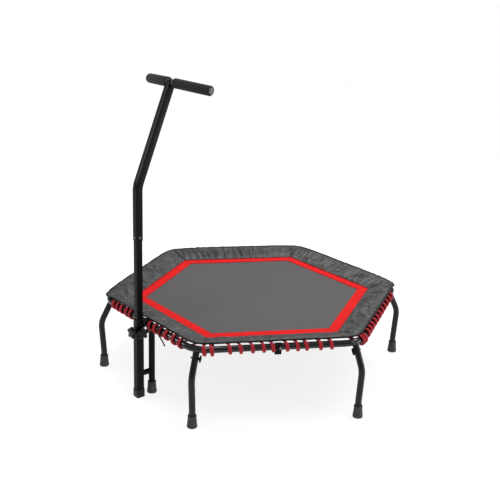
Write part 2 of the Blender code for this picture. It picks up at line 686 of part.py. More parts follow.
def make_cover(build):
    """The cover over the cords: a sloping ring between the border and the frame tube."""
    steps = 4
    inner = rounded_hexagon(COVER_INNER_APOTHEM, 0.002, steps)
    outer = rounded_hexagon(COVER_OUTER_APOTHEM, COVER_CORNER_R, steps)
    shape = bmesh.new()
    rings = []
    for outline, base in ((inner, COVER_INNER_Z), (outer, COVER_OUTER_Z)):
        rings.append([shape.verts.new((point.x, point.y, base)) for point in outline])
    for index in range(len(inner)):
        after = (index + 1) % len(inner)
        shape.faces.new((rings[0][index], rings[1][index], rings[1][after], rings[0][after]))
    mesh = bpy.data.meshes.new("cover_sheet")
    shape.to_mesh(mesh)
    shape.free()
    sheet = build.helper("cover_sheet", mesh)
    thicken = sheet.modifiers.new("thickness", "SOLIDIFY")
    thicken.thickness = COVER_THICKNESS
    thicken.offset = 1
    build.part("safety_cover", carved(sheet), COVER_CLOTH)


def cord_route(first):
    """One side's lacing in the side's own frame: x outward, y along the side, z up."""
    pitch = (LAST_WRAP - first) / (WRAPS_PER_HALF_SIDE - 1)
    starts = [first + pitch * index for index in range(WRAPS_PER_HALF_SIDE)]
    centres = [-start for start in reversed(starts)] + starts
    route = []
    for centre in centres:
        route.append(Vector((CORD_MAT_APOTHEM, centre - pitch / 4, CORD_MAT_Z)))
        for step in range(6):
            angle = math.radians(100 - 40 * step)
            shift = WRAP_ADVANCE * (step / 5 - 0.5)
            route.append(Vector((APOTHEM + CORD_WRAP_R * math.cos(angle), centre + shift,
                                 FRAME_Z + CORD_WRAP_R * math.sin(angle))))
        route.append(Vector((CORD_MAT_APOTHEM, centre + pitch / 4, CORD_MAT_Z - 0.001)))
    return route


def make_cords(build):
    plain = carved(swept(build, cord_route(FIRST_WRAP), CORD_R, sides=CORD_SIDES))
    round_bracket = carved(swept(build, cord_route(BRACKET_FIRST_WRAP), CORD_R,
                                 sides=CORD_SIDES))
    for index in range(6):
        cord = round_bracket if index == BRACKET_SIDE else plain
        build.part(f"elastic_cord_{index + 1}", cord, RED_CORD,
                   rotation=(0, 0, math.radians(60 * index + 30)))
    tail = swept(build, [Vector(point) for point in DRAWCORD_ROUTE], DRAWCORD_R, sides=8)
    build.part("drawcord_end", carved(tail), BLACK_PLASTIC)


def main():
    build = Builder()
    make_frame(build)
    make_couplers(build)
    make_legs(build)
    make_handle_base(build)
    make_knobs(build)
    make_handle(build)
    make_bed(build)
    make_cover(build)
    make_cords(build)


main()
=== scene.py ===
import math

import bmesh
import bpy
from mathutils import Matrix, Quaternion, Vector, noise


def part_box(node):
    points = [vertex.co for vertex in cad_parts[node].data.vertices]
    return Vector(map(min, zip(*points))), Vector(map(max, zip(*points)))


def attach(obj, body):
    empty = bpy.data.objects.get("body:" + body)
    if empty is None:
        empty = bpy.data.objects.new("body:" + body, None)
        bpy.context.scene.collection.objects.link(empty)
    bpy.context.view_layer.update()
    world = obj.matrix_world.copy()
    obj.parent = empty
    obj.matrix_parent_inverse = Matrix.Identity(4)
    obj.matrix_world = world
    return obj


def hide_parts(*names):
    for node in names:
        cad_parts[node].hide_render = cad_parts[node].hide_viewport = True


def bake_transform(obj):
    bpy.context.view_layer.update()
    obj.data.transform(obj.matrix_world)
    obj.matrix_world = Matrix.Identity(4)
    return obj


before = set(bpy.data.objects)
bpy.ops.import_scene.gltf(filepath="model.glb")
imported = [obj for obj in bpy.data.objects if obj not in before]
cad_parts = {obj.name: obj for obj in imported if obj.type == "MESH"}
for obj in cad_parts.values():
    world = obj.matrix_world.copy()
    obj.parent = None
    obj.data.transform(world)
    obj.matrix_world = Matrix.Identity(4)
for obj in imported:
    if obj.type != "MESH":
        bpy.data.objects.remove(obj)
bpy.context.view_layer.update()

FLOOR_HALF = 40.0
FLOOR_GLOW = 0.80
SKY_LOW = 0.12
SKY_HIGH = 0.75
SIDE_ANGLES = (-30, 30, 90, 150, 210, 270)
COUPLER_ANGLES = (-30, 90, 210)


def middle_of(node):
    low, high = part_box(node)
    return (Vector(low) + Vector(high)) / 2


def half_of(node):
    low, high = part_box(node)
    return (Vector(high) - Vector(low)) / 2


# Places and sizes that come from the frame.
MID = middle_of("mat_border")
CENTRE = Vector((MID.x, MID.y, 0))
COLUMN = middle_of("base_tube")
POST = middle_of("support_post")
MAT_CORNER_R = half_of("jump_mat").x
BORDER_CORNER_R = half_of("mat_border").x
MAT_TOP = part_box("jump_mat")[1][2]
COVER_OUTER_APOTHEM = half_of("safety_cover").y
COS30 = math.cos(math.radians(30))
TAN30 = math.tan(math.radians(30))

# Sizes of the frame's tubes and fittings, in metres.
FRAME_CORNER_R = 0.620
FRAME_BEND_R = 0.100
FRAME_Z = 0.300
FRAME_TUBE_R = 0.0127
TUBE_WALL = 0.0015
APOTHEM = FRAME_CORNER_R * COS30
SWAGE_R = 0.0103
SWAGE_LENGTH = 0.038
LEG_TUBE_R = 0.0125
LEG_AXIS_TOP = Vector((0.594, 0.0, FRAME_Z))
LEG_KNEE = Vector((0.6425, 0.0, 0.195))
LEG_ANKLE = Vector((0.633, 0.0, 0.065))
LEG_AXIS = (LEG_KNEE - LEG_AXIS_TOP).normalized()
LEG_SCREW_AT = 0.038
STUB_R = 0.0102
STUB_START = 0.008
STUB_END = 0.058
SLEEVE_BORE_R = 0.0134
COUPLER_R = 0.0152
COUPLER_HALF = 0.0125
COUPLER_BOLT_OFFSET = 0.006
BRACKET_R = 0.0164
BRACKET_HALF = 0.0120
FOOT_HEIGHT = 0.048
COVER_INNER_APOTHEM = 0.4380
COVER_INNER_Z = 0.3026
COVER_OUTER_Z = 0.3236
CLOTH = 0.0012
TUCK = 0.05
TUCK_DEPTH = 0.0058
HEM_HALF_WIDTH = 0.0034
HEM_HALF_HEIGHT = 0.0032
ELASTIC_R = 0.0040
SEAM = 0.0042
STITCH_PITCH = 0.0052
WRAP_R = FRAME_TUBE_R + ELASTIC_R - 0.0002
LOOP_SPREAD = 0.0036
LACING_INNER = 0.4475
LACING_MIDWAY = 0.4900
LACING_SEAT_LIMIT = 0.236
LACING_RINGS_AT = 0.4445
DRAWCORD_R = 0.0026
HANDLE_HALF = 0.0140
HANDLE_BEND_Z = 0.852
HANDLE_BEND_R = 0.10
BAR_TUBE_R = 0.011
BAR_CENTRE = Vector((0.0, CENTRE.y - 0.430, 1.229))
BAR_HALF = Vector((0.198, 0.038, -0.010))
GRIP_R = 0.0190
GRIP_START = 0.0190
KNOB_R = 0.0240
KNOB_START = 0.0255
KNOB_THICKNESS = 0.0120
KNOB_Z = middle_of("front_stud").z
STUD_START = 0.0131
STUD_END = 0.0240
STUD_R = 0.0038
THREAD_DEPTH = 0.0003
THREAD_TURNS = 11
UP = Vector((0, 0, 1))


# ---------------------------------------------------------------- geometry helpers
def polar(radius, degrees, z=0.0):
    angle = math.radians(degrees)
    return CENTRE + Vector((radius * math.cos(angle), radius * math.sin(angle), z))


def turn_by(degrees):
    return Quaternion((0, 0, 1), math.radians(degrees))


def turned(point, degrees):
    """A point of the frame that faces +X, turned about the hexagon's centre."""
    return CENTRE + turn_by(degrees) @ Vector(point)


def fillet(corners, radius, steps):
    """The path through the corners, with each inner corner rounded to an arc."""
    radii = radius if isinstance(radius, (list, tuple)) else [radius] * (len(corners) - 2)
    path = [corners[0]]
    for before, corner, after, bend in zip(corners, corners[1:], corners[2:], radii):
        back = (before - corner).normalized()
        ahead = (after - corner).normalized()
        half = back.angle(ahead) / 2
        centre = corner + (back + ahead).normalized() * bend / math.sin(half)
        start = corner + back * bend / math.tan(half) - centre
        end = corner + ahead * bend / math.tan(half) - centre
        axis = start.cross(end).normalized()
        for step in range(steps + 1):
            path.append(centre + Quaternion(axis, start.angle(end) * step / steps) @ start)
    path.append(corners[-1])
    return path


def spline(points, steps):
    """A smooth line through the points (Catmull-Rom), with equal steps between two of them."""
    ends = [points[0] * 2 - points[1]] + list(points) + [points[-1] * 2 - points[-2]]
    line = []
    for a, b, c, d in zip(ends, ends[1:], ends[2:], ends[3:]):
        for step in range(steps):
            t = step / steps
            line.append(0.5 * (2 * b + (c - a) * t + (2 * a - 5 * b + 4 * c - d) * t ** 2
                               + (3 * b - a - 3 * c + d) * t ** 3))
    line.append(points[-1].copy())
    return line


def circle(radius, sides):
    return [(radius * math.cos(2 * math.pi * i / sides), radius * math.sin(2 * math.pi * i / sides))
            for i in range(sides)]


def rounded_square(half, corner, steps=5):
    """A square outline with round corners, counter-clockwise."""
    points = []
    for quarter, (cx, cy) in enumerate(((1, 1), (-1, 1), (-1, -1), (1, -1))):
        for step in range(steps + 1):
            angle = math.pi / 2 * (quarter + step / steps)
            points.append((cx * (half - corner) + corner * math.cos(angle),
                           cy * (half - corner) + corner * math.sin(angle)))
    return points


def frames_along(points, side, closed=False):
    """At each point: the two directions across the line, carried along it without twist."""
    count = len(points)
    found, across, last = [], side, None
    for index in range(count):
        before = points[index - 1] if closed or index else points[0]
        after = points[(index + 1) % count] if closed or index < count - 1 else points[-1]
        tangent = (after - before).normalized()
        if last is not None:
            across = last.rotation_difference(tangent) @ across
        across = (across - tangent * across.dot(tangent)).normalized()
        found.append((across, tangent.cross(across)))
        last = tangent
    return found


def sweep(points, outline, side=UP, scales=None, inner=None, closed=False):
    """Vertices and faces of an outline carried along a line. With an inner outline it is a hollow tube."""
    frames = frames_along(points, side, closed)
    shells = [outline] + ([inner] if inner else [])
    verts, faces, size, count = [], [], len(outline), len(points)
    for shell in shells:
        for index, (point, (across, up)) in enumerate(zip(points, frames)):
            scale = scales[index] if scales else 1.0
            verts += [point + (across * a + up * b) * scale for a, b in shell]
    rows = count if closed else count - 1
    for number in range(len(shells)):
        base = number * count * size
        for row in range(rows):
            here, there = base + row * size, base + (row + 1) % count * size
            for k in range(size):
                quad = (here + k, here + (k + 1) % size, there + (k + 1) % size, there + k)
                faces.append(quad if number == 0 else quad[::-1])
    last = (count - 1) * size
    if inner and not closed:
        shift = count * size
        for k in range(size):
            n = (k + 1) % size
            faces.append((n, k, k + shift, n + shift))
            faces.append((last + k, last + n, last + n + shift, last + k + shift))
    elif not closed:
        faces.append(tuple(reversed(range(size))))
        faces.append(tuple(range(last, last + size)))
    return verts, faces


def lathe(profile, sides, place=Matrix.Identity(4), ring=False):
    """A profile of (radius, height) points turned about Z, then put in its place."""
    verts, faces, rows = [], [], []
    for radius, height in profile:
        if radius < 1e-6:
            rows.append([len(verts)])
            verts.append(place @ Vector((0, 0, height)))
            continue
        rows.append(list(range(len(verts), len(verts) + sides)))
        verts += [place @ Vector((x, y, height)) for x, y in circle(radius, sides)]
    pairs = list(zip(rows, rows[1:]))
    if ring:
        pairs.append((rows[-1], rows[0]))
    for upper, lower in pairs:
        for k in range(sides):
            n = (k + 1) % sides
            corners = [upper[k % len(upper)], upper[n % len(upper)], lower[n % len(lower)],
                       lower[k % len(lower)]]
            faces.append(tuple(dict.fromkeys(corners)))
    return verts, faces


def plate(outline, low, high, bevel, place=Matrix.Identity(4), rounds=2):
    """A flat outline raised from low to high, with rounded top and bottom edges."""
    inset = []
    for step in range(rounds + 1):
        angle = math.pi / 2 * step / rounds
        inset.append((bevel * (1 - math.sin(angle)), bevel * (1 - math.cos(angle))))
    levels = [(shrink, low + rise) for shrink, rise in inset]
    levels += [(shrink, high - rise) for shrink, rise in reversed(inset)]
    count = len(outline)
    normals = []
    for index in range(count):
        before, here, after = (Vector(outline[(index + k) % count]) for k in (-1, 0, 1))
        way = ((here - before).normalized() + (after - here).normalized()).normalized()
        normals.append(Vector((way.y, -way.x)))
    verts, faces = [], []
    for shrink, height in levels:
        for point, normal in zip(outline, normals):
            flat = Vector(point) - normal * shrink
            verts.append(place @ Vector((flat.x, flat.y, height)))
    for row in range(len(levels) - 1):
        for k in range(count):
            n = (k + 1) % count
            faces.append((row * count + k, row * count + n, (row + 1) * count + n,
                          (row + 1) * count + k))
    faces.append(tuple(reversed(range(count))))
    last = (len(levels) - 1) * count
    faces.append(tuple(range(last, last + count)))
    return verts, faces


def merged(shapes):
    """Several (vertices, faces) as one."""
    verts, faces = [], []
    for some, rest in shapes:
        base = len(verts)
        verts += some
        faces += [tuple(base + k for k in face) for face in rest]
    return verts, faces


def upright(place, axis, spin=Vector((0, 1, 0))):
    """The matrix that puts a shape's Z axis along a direction at a place."""
    z = Vector(axis).normalized()
    y = (spin - z * spin.dot(z)).normalized()
    x = y.cross(z)
    return Matrix.Translation(place) @ Matrix((x, y, z)).transposed().to_4x4()


def square_tube(line, half, corner, wall, inner_corner):
    """A hollow square tube along a line, with two of its sides facing along X."""
    return sweep(line, rounded_square(half, corner), Vector((1, 0, 0)),
                 inner=rounded_square(half - wall, inner_corner))


def clamp_ring(radius, half, bevel):
    """The profile of a sleeve that clasps the frame tube, with bevelled outer edges."""
    upper = [(SLEEVE_BORE_R, half), (radius - bevel, half), (radius, half - bevel)]
    return upper + [(r, -z) for r, z in reversed(upper)]


def added(name, data):
    """A new object, in the scene."""
    obj = bpy.data.objects.new(name, data)
    bpy.context.scene.collection.objects.link(obj)
    return obj


def soften(mesh, degrees=40):
    """Smooth shading, with the edges sharper than the angle kept sharp."""
    mesh.shade_smooth()
    mesh.set_sharp_from_angle(angle=math.radians(degrees))


def lay_cloth(mesh, uv):
    """The directions that the weave follows: uv gives them for a vertex's number."""
    layer = mesh.uv_layers.new(name="cloth")
    for loop in mesh.loops:
        layer.data[loop.index].uv = uv(loop.vertex_index)


def mesh_of(name, shape, smooth=40):
    mesh = bpy.data.meshes.new(name)
    mesh.from_pydata(shape[0], [], shape[1])
    work = bmesh.new()
    work.from_mesh(mesh)
    bmesh.ops.recalc_face_normals(work, faces=work.faces)
    work.to_mesh(mesh)
    work.free()
    soften(mesh, smooth)
    return mesh


def piece(name, shape, finish, body=None, nodes=(), smooth=40, uv=None):
    """A visible piece: it has its finish, rides on its body and stands for its CAD nodes."""
    mesh = shape if isinstance(shape, bpy.types.Mesh) else mesh_of(name, shape, smooth)
    obj = added(name, mesh)
    made, slot = finish
    mesh.materials.clear()
    mesh.materials.append(made)
    if uv:
        lay_cloth(mesh, lambda number: uv(mesh.vertices[number].co))
    if body:
        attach(obj, body)
    if nodes:
        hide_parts(*nodes)
    return obj


# ---------------------------------------------------------------- materials
class Look:
    """A Principled material whose colour, roughness and bump come from procedural nodes."""

    def __init__(self, name, slot, roughness=0.5, metallic=0.0, **sockets):
        self.material = bpy.data.materials.new(name)
        self.material.use_nodes = True
        self.slot = slot
        self.nodes = self.material.node_tree.nodes
        self.links = self.material.node_tree.links
        self.shader = self.nodes["Principled BSDF"]
        self.shader.inputs["Roughness"].default_value = roughness
        self.shader.inputs["Metallic"].default_value = metallic
        for key, value in sockets.items():
            self.shader.inputs[key.replace("_", " ")].default_value = value
        self.place = self.nodes.new("ShaderNodeTexCoord").outputs["Object"]
        self.height = None

    def finish(self):
        return self.material, self.slot

    def on_cloth(self):
        """Patterns follow the cloth's own directions from here on."""
        pin = self.nodes.new("ShaderNodeUVMap")
        pin.uv_map = "cloth"
        self.place = pin.outputs["UV"]

    def math(self, operation, first, second=None):
        node = self.nodes.new("ShaderNodeMath")
        node.operation = operation
        for socket, value in zip(node.inputs, (first, second)):
            if isinstance(value, (int, float)):
                socket.default_value = value
            elif value is not None:
                self.links.new(value, socket)
        return node.outputs[0]

    def noise(self, scale, detail=3.0, roughness=0.5, stretch=(1, 1, 1), distortion=0.0):
        mapping = self.nodes.new("ShaderNodeMapping")
        mapping.inputs["Scale"].default_value = stretch
        self.links.new(self.place, mapping.inputs["Vector"])
        texture = self.nodes.new("ShaderNodeTexNoise")
        texture.inputs["Scale"].default_value = scale
        texture.inputs["Detail"].default_value = detail
        texture.inputs["Roughness"].default_value = roughness
        texture.inputs["Distortion"].default_value = distortion
        self.links.new(mapping.outputs["Vector"], texture.inputs["Vector"])
        return texture.outputs["Fac"]

    def colour(self, fac, stops):
        node = self.nodes.new("ShaderNodeValToRGB")
        elements = node.color_ramp.elements
        while len(elements) < len(stops):
            elements.new(0.5)
        for element, (at, colour) in zip(elements, stops):
            element.position = at
            element.color = (*colour, 1)
        self.links.new(fac, node.inputs["Fac"])
        self.links.new(node.outputs["Color"], self.shader.inputs["Base Color"])

    def rough(self, fac, low, high):
        node = self.nodes.new("ShaderNodeMapRange")
        node.inputs["To Min"].default_value = low
        node.inputs["To Max"].default_value = high
        self.links.new(fac, node.inputs["Value"])
        self.links.new(node.outputs["Result"], self.shader.inputs["Roughness"])

    def bump(self, height, strength, distance):
        node = self.nodes.new("ShaderNodeBump")
        node.inputs["Strength"].default_value = strength
        node.inputs["Distance"].default_value = distance
        self.links.new(height, node.inputs["Height"])
        if self.height is not None:
            self.links.new(self.height, node.inputs["Normal"])
        self.height = node.outputs["Normal"]
        self.links.new(self.height, self.shader.inputs["Normal"])

    def weave(self, pitch):
        """Plain weave: threads cross over and under each other, one thread to a pitch."""
        split = self.nodes.new("ShaderNodeSeparateXYZ")
        self.links.new(self.place, split.inputs[0])
        x = self.math("DIVIDE", split.outputs[0], pitch)
        y = self.math("DIVIDE", split.outputs[1], pitch)
        cells = self.math("ADD", self.math("FLOOR", x), self.math("FLOOR", y))
        over = self.math("MODULO", self.math("ABSOLUTE", cells), 2.0)
        under = self.math("SUBTRACT", 1.0, over)
        warp = self.math("ABSOLUTE", self.math("SINE", self.math("MULTIPLY", x, math.pi)))
        weft = self.math("ABSOLUTE", self.math("SINE", self.math("MULTIPLY", y, math.pi)))
        return self.math("ADD", self.math("MULTIPLY", over, warp),
                         self.math("MULTIPLY", under, weft))


def painted_steel(name, slot, colour, low, high, peel, shine):
    """Powder coat: even black with faint cloudiness, a slight orange peel and a few dull rubs."""
    look = Look(name, slot, Specular_IOR_Level=shine)
    base = Vector(colour)
    look.colour(look.noise(9.0, 4.0), ((0.35, base * 0.85), (0.7, base * 1.25)))
    look.rough(look.noise(26.0, 5.0, 0.6), low, high)
    look.bump(look.noise(700.0, 2.0), peel, 0.0002)
    return look.finish()


def zinc_finish():
    """Dull bright plating, blotched by its crystals."""
    look = Look("zinc_plate", "zinc_plated_steel", metallic=1.0)
    look.colour(look.noise(160.0, 4.0), ((0.3, (0.12, 0.12, 0.13)), (0.7, (0.28, 0.28, 0.30))))
    look.rough(look.noise(300.0, 3.0), 0.22, 0.45)
    return look.finish()


def rubber_finish():
    """Matt moulded rubber with a fine pitted skin."""
    look = Look("moulded_rubber", "foot_rubber")
    look.colour(look.noise(60.0, 5.0), ((0.3, (0.016, 0.016, 0.017)), (0.75, (0.040, 0.040, 0.042))))
    look.rough(look.noise(120.0, 3.0), 0.55, 0.78)
    look.bump(look.noise(1800.0, 3.0, 0.7), 0.35, 0.0003)
    return look.finish()


def foam_finish():
    """Closed-cell foam: very dull, with small pores."""
    look = Look("grip_foam_skin", "grip_foam", Specular_IOR_Level=0.25, Sheen_Weight=0.05,
                Sheen_Roughness=0.6)
    look.colour(look.noise(45.0, 4.0), ((0.3, (0.005, 0.005, 0.0055)), (0.75, (0.010, 0.010, 0.0112))))
    look.rough(look.noise(300.0, 3.0), 0.70, 0.92)
    look.bump(look.noise(1500.0, 4.0, 0.75), 0.5, 0.0005)
    return look.finish()


def plastic_finish(name, slot, colour, low, high):
    """Moulded plastic or plastic braid: uneven in tone and gloss, with a fine grain."""
    look = Look(name, slot, Specular_IOR_Level=0.2)
    base = Vector(colour)
    look.colour(look.noise(40.0, 4.0), ((0.3, base * 0.8), (0.75, base * 1.3)))
    look.rough(look.noise(90.0, 4.0), low, high)
    look.bump(look.noise(1200.0, 2.0), 0.15, 0.0002)
    return look.finish()


def mat_finish():
    """Woven polypropylene: tight flat threads, slightly glossy, with faint streaks of wear."""
    look = Look("woven_mat", "mat_weave", Specular_IOR_Level=0.35, Sheen_Weight=0.08, Sheen_Roughness=0.4)
    threads = look.weave(0.0017)
    streaks = look.noise(4.0, 5.0, 0.6, (1.0, 0.35, 1.0))
    tone = look.math("ADD", look.math("MULTIPLY", threads, 0.35), look.math("MULTIPLY", streaks, 0.65))
    look.colour(tone, ((0.25, (0.050, 0.047, 0.047)), (0.75, (0.072, 0.068, 0.068))))
    look.rough(streaks, 0.50, 0.66)
    look.bump(threads, 0.35, 0.0003)
    return look.finish()


def webbing_finish():
    """Red polyester webbing: ribs along the band, and a soft sheen."""
    look = Look("red_webbing_weave", "red_webbing", Specular_IOR_Level=0.10, Sheen_Weight=0.01,
                Sheen_Roughness=0.5)
    look.on_cloth()
    threads = look.weave(0.0016)
    shade = look.noise(14.0, 4.0, 0.55)
    tone = look.math("ADD", look.math("MULTIPLY", threads, 0.3), look.math("MULTIPLY", shade, 0.7))
    look.colour(tone, ((0.2, (0.50, 0.0015, 0.002)), (0.8, (0.74, 0.004, 0.005))))
    look.rough(shade, 0.50, 0.70)
    look.bump(threads, 0.5, 0.0004)
    return look.finish()


def cover_finish(name, colour, low, high, shine=0.4):
    """Coated oxford cloth: a fine basket weave with a dull shine, and painted shade and painted highlight
    in blotches and streaks across its folds.
    """
    look = Look(name, "cover_fabric", Specular_IOR_Level=shine, Sheen_Weight=0.08, Sheen_Roughness=0.5)
    look.on_cloth()
    base = Vector(colour)
    threads = look.weave(0.0011)
    # The two noises below tint the cloth with painted shade and painted highlight: dark and light blotches
    # and streaks, stretched out from the band, that stand for its folds.
    fold_shade_blotches = look.noise(7.0, 6.0, 0.62, (1.0, 1.6, 1.0), 0.4)
    streaks = look.noise(42.0, 2.5, 0.5, (1.0, 0.10, 1.0), 0.5)
    mixed = look.math("ADD", look.math("MULTIPLY", fold_shade_blotches, 0.25), look.math("MULTIPLY", streaks, 0.6))
    tone = look.math("ADD", look.math("MULTIPLY", threads, 0.15), mixed)
    look.colour(tone, ((0.40, base * 0.25), (0.48, base * 0.9), (0.60, base * 1.9)))
    look.rough(fold_shade_blotches, low, high)
    look.bump(threads, 0.3, 0.0003)
    look.bump(look.noise(28.0, 2.5, 0.5, (1.0, 0.16, 1.0), 0.5), 0.40, 0.0026)
    return look.finish()


def elastic_finish():
    """Braided elastic: a diagonal plait of bright and deep red threads."""
    look = Look("red_elastic_braid", "red_elastic_cord", Specular_IOR_Level=0.3, Sheen_Weight=0.08,
                Sheen_Roughness=0.4)
    look.on_cloth()
    plait = look.weave(0.0021)
    shade = look.noise(25.0, 3.0)
    tone = look.math("ADD", look.math("MULTIPLY", plait, 0.55), look.math("MULTIPLY", shade, 0.45))
    look.colour(tone, ((0.25, (0.10, 0.0010, 0.005)), (0.75, (0.50, 0.004, 0.020))))
    look.rough(shade, 0.42, 0.62)
    look.bump(plait, 0.6, 0.0006)
    return look.finish()


GLOSS = painted_steel("gloss_powder_coat", "gloss_black_steel", (0.0030, 0.0030, 0.0034),
                      0.09, 0.17, 0.04, 0.4)
SATIN = painted_steel("satin_powder_coat", "satin_black_steel", (0.0035, 0.0035, 0.0038),
                      0.26, 0.38, 0.10, 0.08)
LEG = painted_steel("leg_powder_coat", "satin_black_steel", (0.0035, 0.0035, 0.0038),
                    0.28, 0.40, 0.12, 0.28)
ZINC = zinc_finish()
RUBBER = rubber_finish()
FOAM = foam_finish()
BLACK = plastic_finish("black_plastic_grain", "black_plastic", (0.004, 0.004, 0.004), 0.32, 0.5)
GREY = plastic_finish("grey_plastic_grain", "grey_plastic", (0.14, 0.142, 0.146), 0.42, 0.6)
MAT = mat_finish()
BAND = webbing_finish()
COVER = cover_finish("cover_oxford", (0.021, 0.0205, 0.021), 0.36, 0.52)
HEM = cover_finish("cover_binding", (0.0035, 0.0035, 0.0037), 0.50, 0.65, 0.1)
ELASTIC = elastic_finish()
CORD = plastic_finish("black_cord_braid", "black_cord", (0.004, 0.004, 0.0045), 0.55, 0.75)


# ---------------------------------------------------------------- frame and legs
def frame_tubes():
    """Three bent tubes, swaged at one end into the next, and the leg stubs welded under them."""
    for index in range(3):
        turn = 120 * index
        corners = [polar(FRAME_CORNER_R, turn + at, FRAME_Z) for at in (-60, 0, 60, 120)]
        start = corners[0].lerp(corners[1], 0.5) + (corners[1] - corners[0]).normalized() * 0.001
        way = (corners[3] - corners[2]).normalized()
        end = corners[2].lerp(corners[3], 0.5) - way * 0.001
        path = fillet([start, corners[1], corners[2], end], FRAME_BEND_R, 14)
        scales = [1.0] * len(path) + [SWAGE_R / FRAME_TUBE_R] * 2
        path += [end + way * 0.002, end + way * SWAGE_LENGTH]
        shape = sweep(path, circle(FRAME_TUBE_R, 40), scales=scales,
                      inner=circle(FRAME_TUBE_R - TUBE_WALL, 40))
        piece(f"bent_frame_tube_{index + 1}", shape, GLOSS, "frame", [f"frame_tube_{index + 1}"])
    for index in range(6):
        path = [turned(LEG_AXIS_TOP + LEG_AXIS * at, 60 * index) for at in (STUB_START, STUB_END)]
        piece(f"leg_stub_{index + 1}", sweep(path, circle(STUB_R, 24)), GLOSS, "frame")


def couplers():
    """A clamp sleeve with its tab, weld nut and bolt over each joint of the frame."""
    ring = clamp_ring(COUPLER_R, COUPLER_HALF, 0.0006)
    for index, degrees in enumerate(COUPLER_ANGLES):
        seat = polar(APOTHEM, degrees, FRAME_Z)
        out = (seat - CENTRE - UP * FRAME_Z).normalized()
        along = UP.cross(out)
        sleeve = lathe(ring, 48, upright(seat, along, out), ring=True)
        tab = plate(rounded_square(0.013, 0.003), -0.003, 0.003, 0.0008,
                    upright(seat - UP * 0.0175, out, UP))
        piece(f"joint_sleeve_{index + 1}", sleeve, SATIN, "frame", [f"frame_coupler_{index + 1}"])
        piece(f"joint_tab_{index + 1}", tab, SATIN, "frame")
        bolt_seat = seat + along * COUPLER_BOLT_OFFSET
        nut = plate(circle(0.006, 6), -0.0205, -0.0150, 0.0006, upright(bolt_seat, out))
        piece(f"weld_nut_{index + 1}", nut, SATIN, "frame")
        place = upright(bolt_seat + out * 0.0155, out)
        head = [(0, 0.0014), (0.0016, 0.0014), (0.0020, 0.0030), (0.0034, 0.0029), (0.0050, 0.0018),
                (0.0055, 0.0006), (0.0054, 0), (0.0030, 0), (0.0030, -0.036), (0.0026, -0.038),
                (0, -0.038)]
        piece(f"clamp_bolt_{index + 1}", lathe(head, 24, place), ZINC, "frame",
              [f"coupler_bolt_{index + 1}"])


def leg_mesh():
    """A leg at the +X corner: notched round the frame tube, with one knee."""
    path = fillet([turned(LEG_AXIS_TOP + LEG_AXIS * STUB_START, 0), turned(LEG_KNEE, 0),
                   turned(LEG_ANKLE, 0), turned((LEG_ANKLE.x, 0, 0.02), 0)], [0.09, 0.15], 10)
    path.append(turned((LEG_ANKLE.x, 0, 0.0103), 0))
    shape = sweep(path, circle(LEG_TUBE_R, 32), Vector((0, 1, 0)),
                  inner=circle(LEG_TUBE_R - TUBE_WALL, 32))
    leg = added("leg_blank", mesh_of("leg_blank", shape))
    corners = [polar(FRAME_CORNER_R, at, FRAME_Z) for at in (-60, 0, 60)]
    ends = [corners[1].lerp(corners[0], 0.4), corners[1], corners[1].lerp(corners[2], 0.4)]
    notch = sweep(fillet(ends, FRAME_BEND_R, 14), circle(FRAME_TUBE_R + 0.0003, 40))
    cutter = added("leg_notch", mesh_of("leg_notch", notch))
    cut = leg.modifiers.new("notch", "BOOLEAN")
    cut.operation = "DIFFERENCE"
    cut.object = cutter
    bpy.context.view_layer.update()
    graph = bpy.context.evaluated_depsgraph_get()
    mesh = bpy.data.meshes.new_from_object(leg.evaluated_get(graph))
    for obj in (leg, cutter):
        bpy.data.objects.remove(obj)
    soften(mesh)
    return mesh


def spun(mesh, degrees):
    """A copy of a mesh, turned about the hexagon's centre."""
    copy = mesh.copy()
    copy.transform(Matrix.Translation(CENTRE) @ Matrix.Rotation(math.radians(degrees), 4, "Z")
                   @ Matrix.Translation(-CENTRE))
    return copy


def foot_profile():
    """The bell of a rubber foot, from its open top to its sole and up to its socket's floor."""
    top = FOOT_HEIGHT
    return [(0.0133, top - 0.010), (0.0133, top - 0.0004), (0.0138, top), (0.0156, top),
            (0.0163, top - 0.0006), (0.0166, top - 0.0020), (0.0164, top - 0.0035),
            (0.0165, top - 0.0100), (0.0170, 0.0300), (0.0176, 0.0220), (0.0184, 0.0150),
            (0.0192, 0.0100), (0.0195, 0.0080), (0.0195, 0.0018), (0.0190, 0.0006), (0.0180, 0),
            (0.0120, 0), (0.0115, 0.0008), (0, 0.0008), (0, top - 0.010)]


def wing_outline():
    """Two round ears that spread from the hub of a wing screw, in its own flat plane."""
    points = []
    for step in range(48):
        angle = 2 * math.pi * step / 48
        spread = 0.0062 + 0.0075 * abs(math.cos(angle)) ** 2.2
        points.append((spread * math.cos(angle), spread * math.sin(angle) * 0.95))
    return points


def legs():
    """Six legs with their rubber feet and the wing screws that hold them on their stubs."""
    leg = leg_mesh()
    for index in range(6):
        turn = 60 * index
        number = index + 1
        piece(f"bent_leg_{number}", spun(leg, turn), LEG, "frame", [f"leg_{number}"])
        place = Matrix.Translation(turned((LEG_ANKLE.x, 0, 0), turn))
        piece(f"rubber_foot_{number}", lathe(foot_profile(), 48, place), RUBBER, "frame",
              [f"leg_foot_{number}"])
        way = turn_by(turn) @ Vector((0, 1 if index % 2 else -1, 0))
        seat = turned(LEG_AXIS_TOP + LEG_AXIS * LEG_SCREW_AT, turn)
        place = upright(seat, way, turn_by(turn) @ LEG_AXIS)
        reach = LEG_TUBE_R
        hub = [(0, reach + 0.0120), (0.0030, reach + 0.0118), (0.0052, reach + 0.0108),
               (0.0058, reach + 0.0090), (0.0062, reach + 0.0006), (0.0062, reach + 0.0003),
               (0.0030, reach + 0.0003), (0.0030, -reach - 0.0050), (0.0024, -reach - 0.0058),
               (0, -reach - 0.0058)]
        wing = plate(wing_outline(), reach + 0.0055, reach + 0.0098, 0.0014,
                     place @ Matrix.Rotation(math.radians(90), 4, "Z"))
        piece(f"wing_screw_{number}", merged([lathe(hub, 24, place), wing]), SATIN, "frame",
              [f"leg_screw_{number}"])


